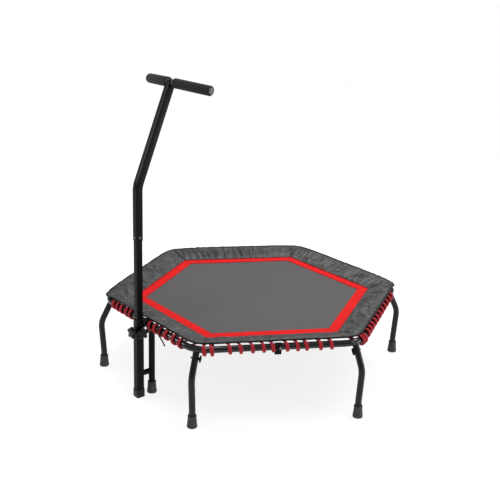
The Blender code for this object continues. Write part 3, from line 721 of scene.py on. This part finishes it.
# ---------------------------------------------------------------- handle
def along_z(x, y, low, high):
    """The two ends of an upright line."""
    return [Vector((x, y, low)), Vector((x, y, high))]


def handle_base():
    """The post with its foot, the bracket, the two links and the square base tube."""
    low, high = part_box("support_post")
    post = sweep(along_z(POST.x, POST.y, low[2], high[2]), circle(LEG_TUBE_R, 32), Vector((1, 0, 0)))
    piece("post_tube", post, SATIN, "frame", ["support_post"])
    place = Matrix.Translation((POST.x, POST.y, 0))
    piece("rubber_foot_post", lathe(foot_profile(), 48, place), RUBBER, "frame", ["post_foot"])

    seat = polar(APOTHEM, 270, FRAME_Z)
    ring = clamp_ring(BRACKET_R, BRACKET_HALF, 0.0007)
    piece("bracket_ring", lathe(ring, 48, upright(seat, (1, 0, 0)), ring=True), SATIN, "frame",
          ["frame_bracket"])
    socket = plate(rounded_square(0.016, 0.004), 0.257, 0.2845, 0.0010, place)
    piece("bracket_socket", socket, SATIN, "frame")

    weld = 0.0012
    for name, node, finish, flare in (("upper_link_rod", "upper_link", GLOSS, 0.0016),
                                      ("lower_link_rod", "lower_link", SATIN, 0.0012)):
        low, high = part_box(node)
        centre = middle_of(node)
        radius = half_of(node).x
        length = high[1] - low[1]
        profile = [(0, length), (radius + flare, length), (radius + flare * 0.6, length - weld),
                   (radius, length - weld * 2), (radius, weld * 2), (radius + flare * 0.6, weld),
                   (radius + flare, 0), (0, 0)]
        place = upright(Vector((centre.x, low[1], centre.z)), (0, 1, 0), UP)
        piece(name, lathe(profile, 40, place), finish, "frame", [node])

    low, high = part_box("base_tube")
    line = along_z(COLUMN.x, COLUMN.y, low[2], high[2])
    tube = square_tube(line, half_of("base_tube").x, 0.0025, 0.0012, 0.0013)
    piece("square_base_tube", tube, SATIN, "frame", ["base_tube"])
    tube_top = high[2]
    low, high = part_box("base_tube_cap")
    outline = rounded_square(half_of("base_tube_cap").x, 0.0035)
    cap = plate(outline, low[2], high[2] - 0.0010, 0.0012, Matrix.Translation((COLUMN.x, COLUMN.y, 0)))
    piece("tube_end_cap", cap, BLACK, "frame", ["base_tube_cap"])
    bush_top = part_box("guide_bush")[1][2]
    line = along_z(COLUMN.x, COLUMN.y, tube_top + 0.0002, bush_top)
    lip = square_tube(line, 0.0152, 0.0026, 0.0023, 0.0019)
    piece("bush_lip", lip, BLACK, "frame", ["guide_bush"])
    line = along_z(COLUMN.x, COLUMN.y, tube_top - 0.023, tube_top)
    sleeve = square_tube(line, 0.0136, 0.0014, 0.0007, 0.0019)
    piece("bush_sleeve", sleeve, BLACK, "frame")


def star_outline():
    """Five round lobes with deep valleys between them."""
    points = []
    for index in range(100):
        angle = 2 * math.pi * index / 100
        lobe = 0.5 + 0.5 * math.cos(5 * angle)
        radius = KNOB_R * (0.62 + 0.38 * lobe ** 0.7)
        points.append((radius * math.cos(angle + math.pi / 2), radius * math.sin(angle + math.pi / 2)))
    return points


def knobs():
    """Two star knobs on threaded studs that run in welded bosses."""
    base = Vector((COLUMN.x, COLUMN.y, KNOB_Z))
    for side, axis in (("front", Vector((0, -1, 0))), ("side", Vector((1, 0, 0)))):
        place = upright(base + axis * KNOB_START, axis, UP)
        star = plate(star_outline(), 0, KNOB_THICKNESS, 0.0028, place, rounds=4)
        hub = [(0, 0.004), (0.0085, 0.004), (0.0085, -0.0022), (0.0078, -0.0030), (0.0046, -0.0030),
               (0.0046, -0.0010), (0, -0.0010)]
        dimple = [(0, KNOB_THICKNESS + 0.0004), (0.0052, KNOB_THICKNESS + 0.0004),
                  (0.0060, KNOB_THICKNESS - 0.0004), (0.0060, KNOB_THICKNESS - 0.003),
                  (0, KNOB_THICKNESS - 0.003)]
        shape = merged([star, lathe(hub, 32, place), lathe(dimple, 32, place)])
        piece(f"{side}_star_knob", shape, BLACK, f"{side}_knob", [f"{side}_knob"])
        rod = [(0, STUD_END)]
        for step in range(THREAD_TURNS * 2 + 1):
            rod.append((STUD_R + (THREAD_DEPTH if step % 2 else -THREAD_DEPTH),
                        STUD_END - (STUD_END - STUD_START) * step / (THREAD_TURNS * 2)))
        rod += [(0.0030, STUD_START - 0.0002), (0, STUD_START - 0.0002)]
        seat = upright(base, axis, UP)
        piece(f"{side}_threaded_stud", lathe(rod, 24, seat), ZINC, f"{side}_stud", [f"{side}_stud"])
        boss = [(0.0045, 0.0203), (0.0080, 0.0203), (0.0085, 0.0198), (0.0085, 0.0166),
                (0.0092, 0.0153), (0.0045, 0.0153)]
        piece(f"{side}_weld_boss", lathe(boss, 32, seat, ring=True), SATIN, "frame", [f"{side}_boss"])


def handle():
    """The inner tube, the bent tube screwed onto it, the T-bar with its grips and plugs."""
    low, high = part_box("inner_tube")
    line = along_z(COLUMN.x, COLUMN.y, low[2], high[2])
    tube = square_tube(line, half_of("inner_tube").x, 0.0022, 0.0015, 0.0009)
    piece("square_inner_tube", tube, SATIN, "handle", ["inner_tube"])
    bend = Vector((0.0, COLUMN.y, HANDLE_BEND_Z))
    slope = (BAR_CENTRE - bend).normalized()
    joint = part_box("handle_tube")[0][2]
    path = fillet([Vector((0, COLUMN.y, joint)), bend, BAR_CENTRE - slope * 0.004], HANDLE_BEND_R, 16)
    tube = square_tube(path, HANDLE_HALF, 0.0024, 0.0012, 0.0013)
    piece("bent_handle_tube", tube, SATIN, "handle", ["handle_tube"])
    head = [(0, 0.0010), (0.0014, 0.0010), (0.0017, 0.0022), (0.0030, 0.0020), (0.0042, 0.0012),
            (0.0045, 0.0004), (0.0044, 0), (0.0025, 0), (0.0025, -0.0050), (0, -0.0050)]
    for name, axis in (("front", Vector((0, -1, 0))), ("side", Vector((1, 0, 0)))):
        centre = middle_of(f"joint_screw_{name}")
        seat = Vector((COLUMN.x, COLUMN.y, centre.z)) + axis * (HANDLE_HALF + 0.0003)
        piece(f"tube_screw_{name}", lathe(head, 24, upright(seat, axis, UP)), ZINC, "handle",
              [f"joint_screw_{name}"])

    left = Vector((-BAR_HALF.x, BAR_HALF.y, BAR_HALF.z))
    bar = fillet([BAR_CENTRE + left, BAR_CENTRE, BAR_CENTRE + BAR_HALF], 0.02, 6)
    piece("t_bar_tube", sweep(bar, circle(BAR_TUBE_R, 32)), SATIN, "handle", ["t_bar"])
    collar = [(0.0110, 0.0184), (0.0136, 0.0184), (0.0142, 0.0176), (0.0142, 0.0146), (0.0110, 0.0142)]
    length = BAR_HALF.length
    foam = [(0.0113, length - 0.0006), (GRIP_R - 0.0060, length), (GRIP_R - 0.0038, length - 0.0003),
            (GRIP_R - 0.0018, length - 0.0013), (GRIP_R - 0.0005, length - 0.0032),
            (GRIP_R, length - 0.0055), (GRIP_R, GRIP_START + 0.0045),
            (GRIP_R - 0.0005, GRIP_START + 0.0025), (GRIP_R - 0.0020, GRIP_START + 0.0008),
            (GRIP_R - 0.0040, GRIP_START), (0.0113, GRIP_START)]
    plug = [(0, 0.0028), (0.0070, 0.0030), (0.0105, 0.0026), (0.0122, 0.0016), (0.0126, 0.0008),
            (0.0125, 0.0003), (0.0088, 0.0003), (0.0085, -0.0140), (0, -0.0140)]
    for name, half in (("left", left), ("right", BAR_HALF)):
        way = half.normalized()
        place = upright(BAR_CENTRE, way, UP)
        piece(f"foam_grip_{name}", lathe(foam, 64, place, ring=True), FOAM, "handle",
              [f"grip_{name}"])
        piece(f"bar_collar_{name}", lathe(collar, 32, place, ring=True), GREY, "handle")
        place = upright(BAR_CENTRE + half, way, UP)
        piece(f"end_plug_{name}", lathe(plug, 48, place), GREY, "handle", [f"bar_plug_{name}"])


# ---------------------------------------------------------------- jumping bed
def mat():
    """The woven mat: one flat hexagon that runs on under the band, with slight waves."""
    corner_r, rings = BORDER_CORNER_R - 0.001, 30
    verts, faces, index = [], [], {}

    def vertex(ring, number):
        ring_count = max(1, 6 * ring)
        key = (ring, number % ring_count)
        if key not in index:
            if ring == 0:
                flat = CENTRE.copy()
            else:
                sector, step = divmod(key[1], ring)
                a = polar(corner_r * ring / rings, 60 * sector)
                b = polar(corner_r * ring / rings, 60 * (sector + 1))
                flat = a.lerp(b, step / ring)
            inside = 1 - ring / rings
            wave = 0.0007 * noise.noise(Vector((flat.x * 5, flat.y * 5, 3.7)))
            sag = -0.0022 * (1 - (ring / rings) ** 2)
            index[key] = len(verts)
            verts.append(Vector((flat.x, flat.y, MAT_TOP - 0.0006 + sag + wave * min(1, inside * 6))))
        return index[key]

    for ring in range(rings):
        for sector in range(6):
            for step in range(ring + 1):
                a = vertex(ring, sector * ring + step)
                b = vertex(ring + 1, sector * (ring + 1) + step)
                c = vertex(ring + 1, sector * (ring + 1) + step + 1)
                faces.append((a, b, c))
                if step < ring:
                    faces.append((a, c, vertex(ring, sector * ring + step + 1)))
    count = len(verts)
    verts += [point - UP * 0.0010 for point in verts]
    faces += [tuple(k + count for k in reversed(face)) for face in faces]
    rim = [vertex(rings, number) for number in range(6 * rings)]
    for a, b in zip(rim, rim[1:] + rim[:1]):
        faces.append((b, a, a + count, b + count))
    sheet = piece("woven_jump_mat", (verts, faces), MAT, "bed", ["jump_mat"], smooth=30)


def band():
    """The red webbing: six strips with mitred ends, sewn on along both edges."""
    inner, outer = MAT_CORNER_R * COS30, BORDER_CORNER_R * COS30
    low, high = MAT_TOP - 0.0004, MAT_TOP + 0.0012
    edge = [(0, low), (0.0006, high - 0.0002), (0.0020, high), (SEAM, high - 0.0005), (0.0062, high)]
    across = [(inner + offset, z) for offset, z in edge] + [((inner + outer) / 2, high + 0.0002)]
    across += [(outer - offset, z) for offset, z in reversed(edge)]
    size, steps = len(across), 40
    shapes, stitches = [], []
    for degrees in SIDE_ANGLES:
        verts, faces = [], []
        out = turn_by(degrees) @ Vector((1, 0, 0))
        along = turn_by(degrees) @ Vector((0, 1, 0))
        for step in range(steps + 1):
            share = 2 * step / steps - 1
            for apothem, z in across:
                ripple = 0.0003 * noise.noise(Vector((share * 9, apothem * 30, degrees)))
                lift = ripple if z > low else 0
                spot = CENTRE + out * apothem + along * (share * (apothem * TAN30 - 0.0003))
                verts.append(spot + UP * (z + lift))
        for step in range(steps):
            for k in range(size):
                n = (k + 1) % size
                faces.append((step * size + k, step * size + n, (step + 1) * size + n,
                              (step + 1) * size + k))
        faces.append(tuple(range(size)))
        faces.append(tuple(reversed(range(steps * size, (steps + 1) * size))))
        shapes.append((verts, faces))
        for apothem in (inner + SEAM, outer - SEAM):
            reach = apothem * TAN30 - 0.004
            count = int(2 * reach / STITCH_PITCH)
            for number in range(count):
                at = -reach + 2 * reach * (number + 0.5) / count
                spot = CENTRE + out * apothem + along * at + UP * (high - 0.0003)
                stitches.append(stitch(spot, along, out))

    def cloth_uv(point):
        flat = point - CENTRE
        degrees = round((math.degrees(math.atan2(flat.y, flat.x)) - 30) / 60) * 60 + 30
        spun_back = turn_by(-degrees) @ flat
        return spun_back.y, spun_back.x

    strip = piece("red_mat_band", merged(shapes), BAND, "bed", ["mat_border"], smooth=35, uv=cloth_uv)
    thread = piece("band_stitches", merged(stitches), BAND, "bed", smooth=60, uv=cloth_uv)


def stitch(centre, along, out, half_length=0.0018, half_width=0.00045, height=0.0005):
    """One stitch: a small raised bar with sloping ends."""
    verts = [centre + along * a * half_length + out * b * half_width + UP * c * height
             for a, b, c in ((-1, -1, 0), (1, -1, 0), (1, 1, 0), (-1, 1, 0),
                             (-0.7, -0.5, 1), (0.7, -0.5, 1), (0.7, 0.5, 1), (-0.7, 0.5, 1))]
    faces = [(3, 2, 1, 0), (4, 5, 6, 7), (0, 1, 5, 4), (1, 2, 6, 5), (2, 3, 7, 6), (3, 0, 4, 7)]
    return verts, faces


# How far each wrap of the lacing stands from its side's middle. These places follow no rule: most
# are measured values from a separate projection script, and the rest were set by eye.
WRAPS = {
    -30: (-0.273, -0.247, -0.181, -0.141, -0.097, -0.056, -0.021, 0.032, 0.071, 0.105, 0.158, 0.200),
    30: (-0.281, -0.262, -0.212, -0.176, -0.138, -0.098, -0.056, -0.014, 0.030, 0.075, 0.120, 0.165, 0.205),
    270: (-0.232, -0.202, -0.172, -0.134, -0.106, -0.060, 0.032, 0.068, 0.102, 0.143, 0.192, 0.234),
}


def wrap_places(angle):
    """The unlisted sides have evenly spaced wraps, a little out of place."""
    if angle in WRAPS:
        return WRAPS[angle]
    places = [side * (0.023 + 0.0395 * step) for step in range(6) for side in (-1, 1)]
    return [at + 0.005 * noise.noise(Vector((at * 31, angle, 0.5))) for at in sorted(places)]


def tube_spot(at):
    """The tube's centreline at a distance from its side's middle, and its outward direction."""
    straight = FRAME_CORNER_R / 2 - FRAME_BEND_R * TAN30
    if abs(at) <= straight:
        return Vector((APOTHEM, at, FRAME_Z)), Vector((1, 0, 0))
    theta = (abs(at) - straight) / FRAME_BEND_R
    side = math.copysign(1, at)
    out = Vector((math.cos(theta), side * math.sin(theta), 0))
    return Vector((APOTHEM - FRAME_BEND_R, side * straight, FRAME_Z)) + out * FRAME_BEND_R, out


def lacing():
    """The red elastic: it runs from a ring at the mat's edge over the tube, round it and back."""
    rings, sides = [], 12
    for index, angle in enumerate((30, 90, 150, 210, 270, -30)):
        turn = turn_by(angle)
        route, returns = [], []
        for number, at in enumerate(wrap_places(angle)):
            base, out = tube_spot(at)
            along = UP.cross(out)
            seat = max(-LACING_SEAT_LIMIT, min(LACING_SEAT_LIMIT, at))
            loose = 0.5 + 0.5 * noise.noise(Vector((number * 1.7, index * 2.3, 0.5)))
            slack = 0.0010 * loose + (0.0060 * loose if abs(at) > 0.24 else 0)
            route += [Vector((LACING_INNER, seat - 0.010, 0.2905)),
                      Vector((LACING_MIDWAY, (seat + at) / 2 - 0.0065, 0.3030))]
            back = []
            for step in range(13):
                share = step / 12
                theta = math.radians(108 - 216 * share)
                drop = slack * max(0.0, -math.sin(theta)) + slack * 0.4 * max(0.0, math.cos(theta))
                radius = WRAP_R + drop
                bulge = LOOP_SPREAD * math.sin(math.pi * share)
                spot = base + out * radius * math.cos(theta) + UP * radius * math.sin(theta)
                spot += along * 0.008 * (share - 0.5)
                route.append(spot - along * bulge)
                back.append(spot + along * bulge)
            route += [Vector((LACING_MIDWAY, (seat + at) / 2 + 0.0065, 0.2860 - slack)),
                      Vector((LACING_INNER, seat + 0.010, 0.2893))]
            returns.append(back)
            rings.append((turn, seat))
        shapes, runs = [], []
        for part in [route] + returns:
            line = [CENTRE + turn @ point for point in spline(part, 3)]
            run = 0.0
            for a, b in zip(line[:1] + line, line):
                run += (b - a).length
                runs.append(run)
            shapes.append(sweep(line, circle(ELASTIC_R, sides)))
        mesh = mesh_of(f"elastic_lacing_{index + 1}", merged(shapes), 70)
        lay_cloth(mesh, lambda number: plait_uv(runs[number // sides], number % sides / sides))
        obj = piece(f"elastic_lacing_{index + 1}", mesh, ELASTIC, None, [f"elastic_cord_{index + 1}"])
        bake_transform(obj)
    shapes = []
    for turn, at in rings:
        seat = CENTRE + turn @ Vector((LACING_RINGS_AT, at, 0.2915))
        line = []
        for step in range(14):
            theta = 2 * math.pi * step / 14
            line.append(seat + turn @ Vector((0.0062 * math.cos(theta), 0, 0.0068 * math.sin(theta))))
        shapes.append(sweep(line, circle(0.0012, 6), turn @ Vector((0, 1, 0)), closed=True))
    piece("lacing_rings", merged(shapes), SATIN, "bed", smooth=70)


def plait_uv(run, share):
    """Diagonal directions round a cord, so that the weave looks like a plait."""
    around = share * 2 * math.pi * ELASTIC_R
    return (run + around) * 0.70711, (run - around) * 0.70711


# The cover reaches over the tube, except at the two sides that carry the handle and face it.
SIDE_REACH = {-30: 0.0, 30: 0.0035, 90: 0.012, 150: 0.013, 210: 0.012, 270: 0.0035}
# Each corner of the cover, by its angle: its radius, its reach past the hem's line, and its droop.
CORNERS = {0: (0.090, 0.0, 0.0), 60: (0.030, 0.007, 0.006), 120: (0.050, 0.010, 0.003),
           180: (0.050, 0.011, 0.003), 240: (0.030, 0.007, 0.006), 300: (0.090, 0.0, 0.0)}


def cover_edges(side):
    """One side of the cover in its own frame: inner point, outer point and droop of each column."""
    inner_half = COVER_INNER_APOTHEM * TAN30
    ends = [CORNERS[(side + 30 * way) % 360] for way in (-1, 1)]
    straights = [(COVER_OUTER_APOTHEM - radius) * TAN30 for radius, reach, droop in ends]
    found = []
    fan, run = 9, 116

    def add(inner_y, spot, out, at, end):
        droop = ends[end][2]
        near = min(1.0, abs(at)) ** 6
        evenly = ends[0][1] + (ends[1][1] - ends[0][1]) * (max(-1.0, min(1.0, at)) + 1) / 2
        middle = SIDE_REACH[side] - (ends[0][1] + ends[1][1]) / 2
        grown = spot + out * (evenly + middle * (1 - near))
        found.append((Vector((COVER_INNER_APOTHEM, inner_y)), grown, droop * near ** 2))

    for end, way in ((0, -1), (1, 1)):
        radius = ends[end][0]
        centre = Vector((COVER_OUTER_APOTHEM - radius, way * straights[end]))
        arc = []
        for step in range(1, fan + 1):
            theta = math.radians(30 * step / fan) * way
            out = Vector((math.cos(theta), math.sin(theta)))
            arc.append((way * inner_half, centre + radius * out, out, float(way), end))
        if end == 0:
            for item in reversed(arc):
                add(*item)
            for step in range(run + 1):
                share = step / run
                y = -straights[0] + (straights[0] + straights[1]) * share
                out = Vector((1, 0))
                spread = inner_half * (2 * share - 1)
                at = y / straights[1 if y > 0 else 0]
                add(spread, Vector((COVER_OUTER_APOTHEM, y)), out, at, 1 if y > 0 else 0)
        else:
            for item in arc:
                add(*item)
    return found


# How strongly each side of the cover is creased.
CREASES = {-30: 0.9, 30: 1.3, 90: 1.3, 150: 1.6, 210: 1.5, 270: 0.9}


def fold(side, along, share, seam):
    """How far the cover is lifted by its folds. share is 0 at the band and 1 at the hem."""
    strength = CREASES[side]
    spot = Vector((along * 16, share * 0.9, side * 0.37))
    radial = max(0.0, 1 - abs(noise.noise(spot)) * 3.6) ** 1.4
    spot = Vector((along * 10 + share * 1.2, share * 1.6 - along * 3, side * 0.71))
    diagonal = max(0.0, 1 - abs(noise.noise(spot)) * 3.2) ** 1.6
    shift = noise.noise(Vector((along * 11, share * 1.1, side * 0.13)))
    pleat = math.sin(2 * math.pi * (along / 0.033 + 1.1 * shift + 0.15 * share))
    patch = max(0.0, 0.5 + 1.2 * noise.noise(Vector((along * 9, side * 0.29, 4.1))))
    broad = noise.noise(Vector((along * 7, share * 2.0, side * 0.53)))
    body = math.sin(math.pi * min(1.0, share * 1.05)) ** 0.6 if share < 0.90 else 0.16
    lift = strength * body * (0.0046 * radial + 0.0040 * diagonal + 0.0032 * patch * pleat)
    lift += 0.0026 * body * (broad + 0.3)
    lift += 0.0009 * strength * (1 + math.sin(2 * math.pi * along / 0.015)) * math.exp(-(share / 0.10) ** 2)
    pinch = -0.0012 * math.sin(math.pi * min(share, 1.0))
    return lift * (1 - seam) + pinch * seam


def cover():
    """Six panels of cloth from the band out to the hem, which a drawcord gathers over the tube."""
    rows = 24
    hem_line = []
    for number, side in enumerate(SIDE_ANGLES):
        turn = turn_by(side)
        pairs = cover_edges(side)
        columns = len(pairs)
        verts, uvs, faces = [], [], []
        for column, (inner, outer, droop) in enumerate(pairs):
            edge = min(column, columns - 1 - column)
            seam = max(0.0, 1 - edge / 3.0)
            for row in range(-1, rows):
                if row < 0:
                    tucked = inner.lerp(outer, TUCK)
                    low = COVER_INNER_Z - TUCK_DEPTH
                    verts.append(CENTRE + turn @ Vector((tucked.x, tucked.y, low)))
                    uvs.append((outer.y, tucked.x))
                    continue
                share = row / (rows - 1)
                flat = inner.lerp(outer, share)
                rise = COVER_INNER_Z + (COVER_OUTER_Z - COVER_INNER_Z) * share
                rise += 0.0012 * math.sin(math.pi * share) - droop * max(0.0, (share - 0.8) * 5) ** 2
                lift = fold(side, outer.y, share, seam)
                verts.append(CENTRE + turn @ Vector((flat.x, flat.y, rise + lift)))
                uvs.append((outer.y, flat.x))
            hem_line.append(verts[-1].copy())
        hem_line.pop()
        count = len(verts)
        verts += [point - UP * CLOTH for point in verts]
        uvs += uvs
        width = rows + 1
        for column in range(columns - 1):
            for row in range(rows):
                a = column * width + row
                quad = (a, a + 1, a + width + 1, a + width)
                faces.append(quad)
                faces.append(tuple(k + count for k in reversed(quad)))
            for a, flip in ((column * width, False), (column * width + rows, True)):
                quad = (a, a + width, a + width + count, a + count)
                faces.append(quad[::-1] if flip else quad)
        for column in (0, columns - 1):
            for row in range(rows):
                a = column * width + row
                faces.append((a, a + 1, a + 1 + count, a + count))
        mesh = mesh_of(f"cover_panel_{number + 1}", (verts, faces), 50)
        lay_cloth(mesh, lambda number: uvs[number])
        nodes = ["safety_cover"] if number == 0 else []
        obj = piece(f"cover_panel_{number + 1}", mesh, COVER, None, nodes)
        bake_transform(obj)
    outline = [(x * HEM_HALF_WIDTH, y * HEM_HALF_HEIGHT) for x, y in circle(1, 16)]
    line = []
    for point in hem_line:
        out = point - CENTRE
        out.z = 0
        pleat = 0.0005 * noise.noise(Vector((point.x * 60, point.y * 60, 1.3)))
        line.append(point - UP * 0.0006 + out.normalized() * (0.0012 + pleat))
    piece("cover_hem", sweep(line, outline, closed=True), HEM, "frame", smooth=60,
          uv=lambda point: (math.atan2(point.y - CENTRE.y, point.x) * 0.55, point.z))


# Free end of the cover's drawcord: it leaves the hem, crosses the tube and hangs outside it.
DRAWCORD_ROUTE = (
    (0.1000, -0.5338, 0.3243), (0.1002, -0.5400, 0.3242), (0.1008, -0.5462, 0.3230),
    (0.1020, -0.5520, 0.3198), (0.1045, -0.5572, 0.3145), (0.1085, -0.5604, 0.3078),
    (0.1130, -0.5612, 0.3005), (0.1180, -0.5604, 0.2935), (0.1232, -0.5588, 0.2865),
    (0.1285, -0.5566, 0.2795), (0.1332, -0.5542, 0.2722), (0.1372, -0.5520, 0.2645),
    (0.1400, -0.5502, 0.2563),
)


def drawcord():
    """The drawcord's free end, slightly thicker just before its cut tip, and its eyelet."""
    points = [CENTRE + Vector(point) for point in DRAWCORD_ROUTE]
    line = spline(points, 4)
    scales = [1.0] * len(line)
    for back, size in ((1, 0.55), (2, 1.12), (3, 1.15), (4, 1.08)):
        scales[-back] = size
    tail = piece("drawcord_tail", sweep(line, circle(DRAWCORD_R, 14), scales=scales), CORD, "frame",
                 ["drawcord_end"], smooth=60)
    seat = upright(points[0] + Vector((0, 0.0006, 0)), (0, -1, 0), UP)
    bore = DRAWCORD_R + 0.0002
    eyelet = [(bore, 0.0006), (bore + 0.0005, 0.0011), (bore + 0.0012, 0.0011),
              (bore + 0.0016, 0.0005), (bore + 0.0016, -0.0008), (bore, -0.0008)]
    piece("drawcord_eyelet", lathe(eyelet, 24, seat, ring=True), ZINC, "frame")


# ---------------------------------------------------------------- stage
def stage():
    """A wide pale floor, a white surround and soft lights."""
    size = FLOOR_HALF
    mesh = bpy.data.meshes.new("floor")
    mesh.from_pydata([(-size, -size, 0), (size, -size, 0), (size, size, 0), (-size, size, 0)], [],
                     [(0, 1, 2, 3)])
    floor = added("floor", mesh)
    look = Look("pale_floor", "", roughness=0.6, Specular_IOR_Level=0.2, Emission_Color=(1, 1, 1, 1),
                Emission_Strength=FLOOR_GLOW)
    look.colour(look.noise(0.6, 2.0), ((0.3, (0.27, 0.27, 0.27)), (0.7, (0.30, 0.30, 0.30))))
    mesh.materials.append(look.material)

    world = bpy.data.worlds.new("studio")
    world.use_nodes = True
    nodes, links = world.node_tree.nodes, world.node_tree.links
    split = nodes.new("ShaderNodeSeparateXYZ")
    links.new(nodes.new("ShaderNodeTexCoord").outputs["Generated"], split.inputs[0])
    sky = nodes.new("ShaderNodeMapRange")
    sky.interpolation_type = "SMOOTHSTEP"
    for key, value in (("From Min", 0.05), ("From Max", 0.75), ("To Min", SKY_LOW),
                       ("To Max", SKY_HIGH)):
        sky.inputs[key].default_value = value
    links.new(split.outputs[2], sky.inputs["Value"])
    nodes["Background"].inputs["Color"].default_value = (1, 1, 1, 1)
    seen = nodes.new("ShaderNodeMath")
    seen.operation = "MAXIMUM"
    links.new(nodes.new("ShaderNodeLightPath").outputs["Is Camera Ray"], seen.inputs[0])
    links.new(sky.outputs["Result"], seen.inputs[1])
    links.new(seen.outputs[0], nodes["Background"].inputs["Strength"])
    bpy.context.scene.world = world

    for name, place, target, wide, tall, power in (
            ("back_strip", (-0.3, 1.9, 3.0), (0, 0, 0.3), 3.4, 0.22, 58),
            ("top_strip", (0.3, -0.4, 3.6), (0, 0, 0.3), 0.3, 3.0, 38),
            ("left_strip", (-2.45, -2.58, 1.85), (0, -0.5, 1.05), 0.5, 1.0, 17),
            ("right_strip", (3.4, 1.2, 1.9), (0, 0, 0.5), 0.25, 2.0, 14),
            ("low_softbox", (2.2, 1.45, 0.42), (0, -0.45, 1.15), 0.7, 0.36, 11)):
        data = bpy.data.lights.new(name, "AREA")
        data.shape = "RECTANGLE"
        data.size, data.size_y, data.energy = wide, tall, power
        lamp = added(name, data)
        lamp.location = place
        lamp.rotation_euler = (Vector(target) - Vector(place)).to_track_quat("-Z", "Y").to_euler()
        lamp.visible_camera = False

    bpy.context.scene.view_settings.view_transform = "Standard"


def camera():
    """The viewpoint: to the right of the handle's side, looking down a little."""
    azimuth, pitch, roll = (math.radians(a) for a in (50.23, 14.772, 1.503))
    back = Vector((math.sin(azimuth) * math.cos(pitch), -math.cos(azimuth) * math.cos(pitch),
                   math.sin(pitch)))
    right = UP.cross(back).normalized()
    up = back.cross(right)
    right, up = (right * math.cos(roll) + up * math.sin(roll),
                 up * math.cos(roll) - right * math.sin(roll))
    data = bpy.data.cameras.new("view")
    data.lens = 63.34
    data.sensor_width = 36.0
    data.shift_y = -0.120
    data.clip_end = 200.0
    obj = added("view", data)
    obj.matrix_world = (Matrix.Translation(CENTRE + Vector((2.683, -2.269, 1.680)))
                        @ Matrix((right, up, back)).transposed().to_4x4())
    bpy.context.scene.camera = obj


camera()
drawcord()
frame_tubes()
couplers()
legs()
handle_base()
knobs()
handle()
mat()
band()
lacing()
cover()
stage()
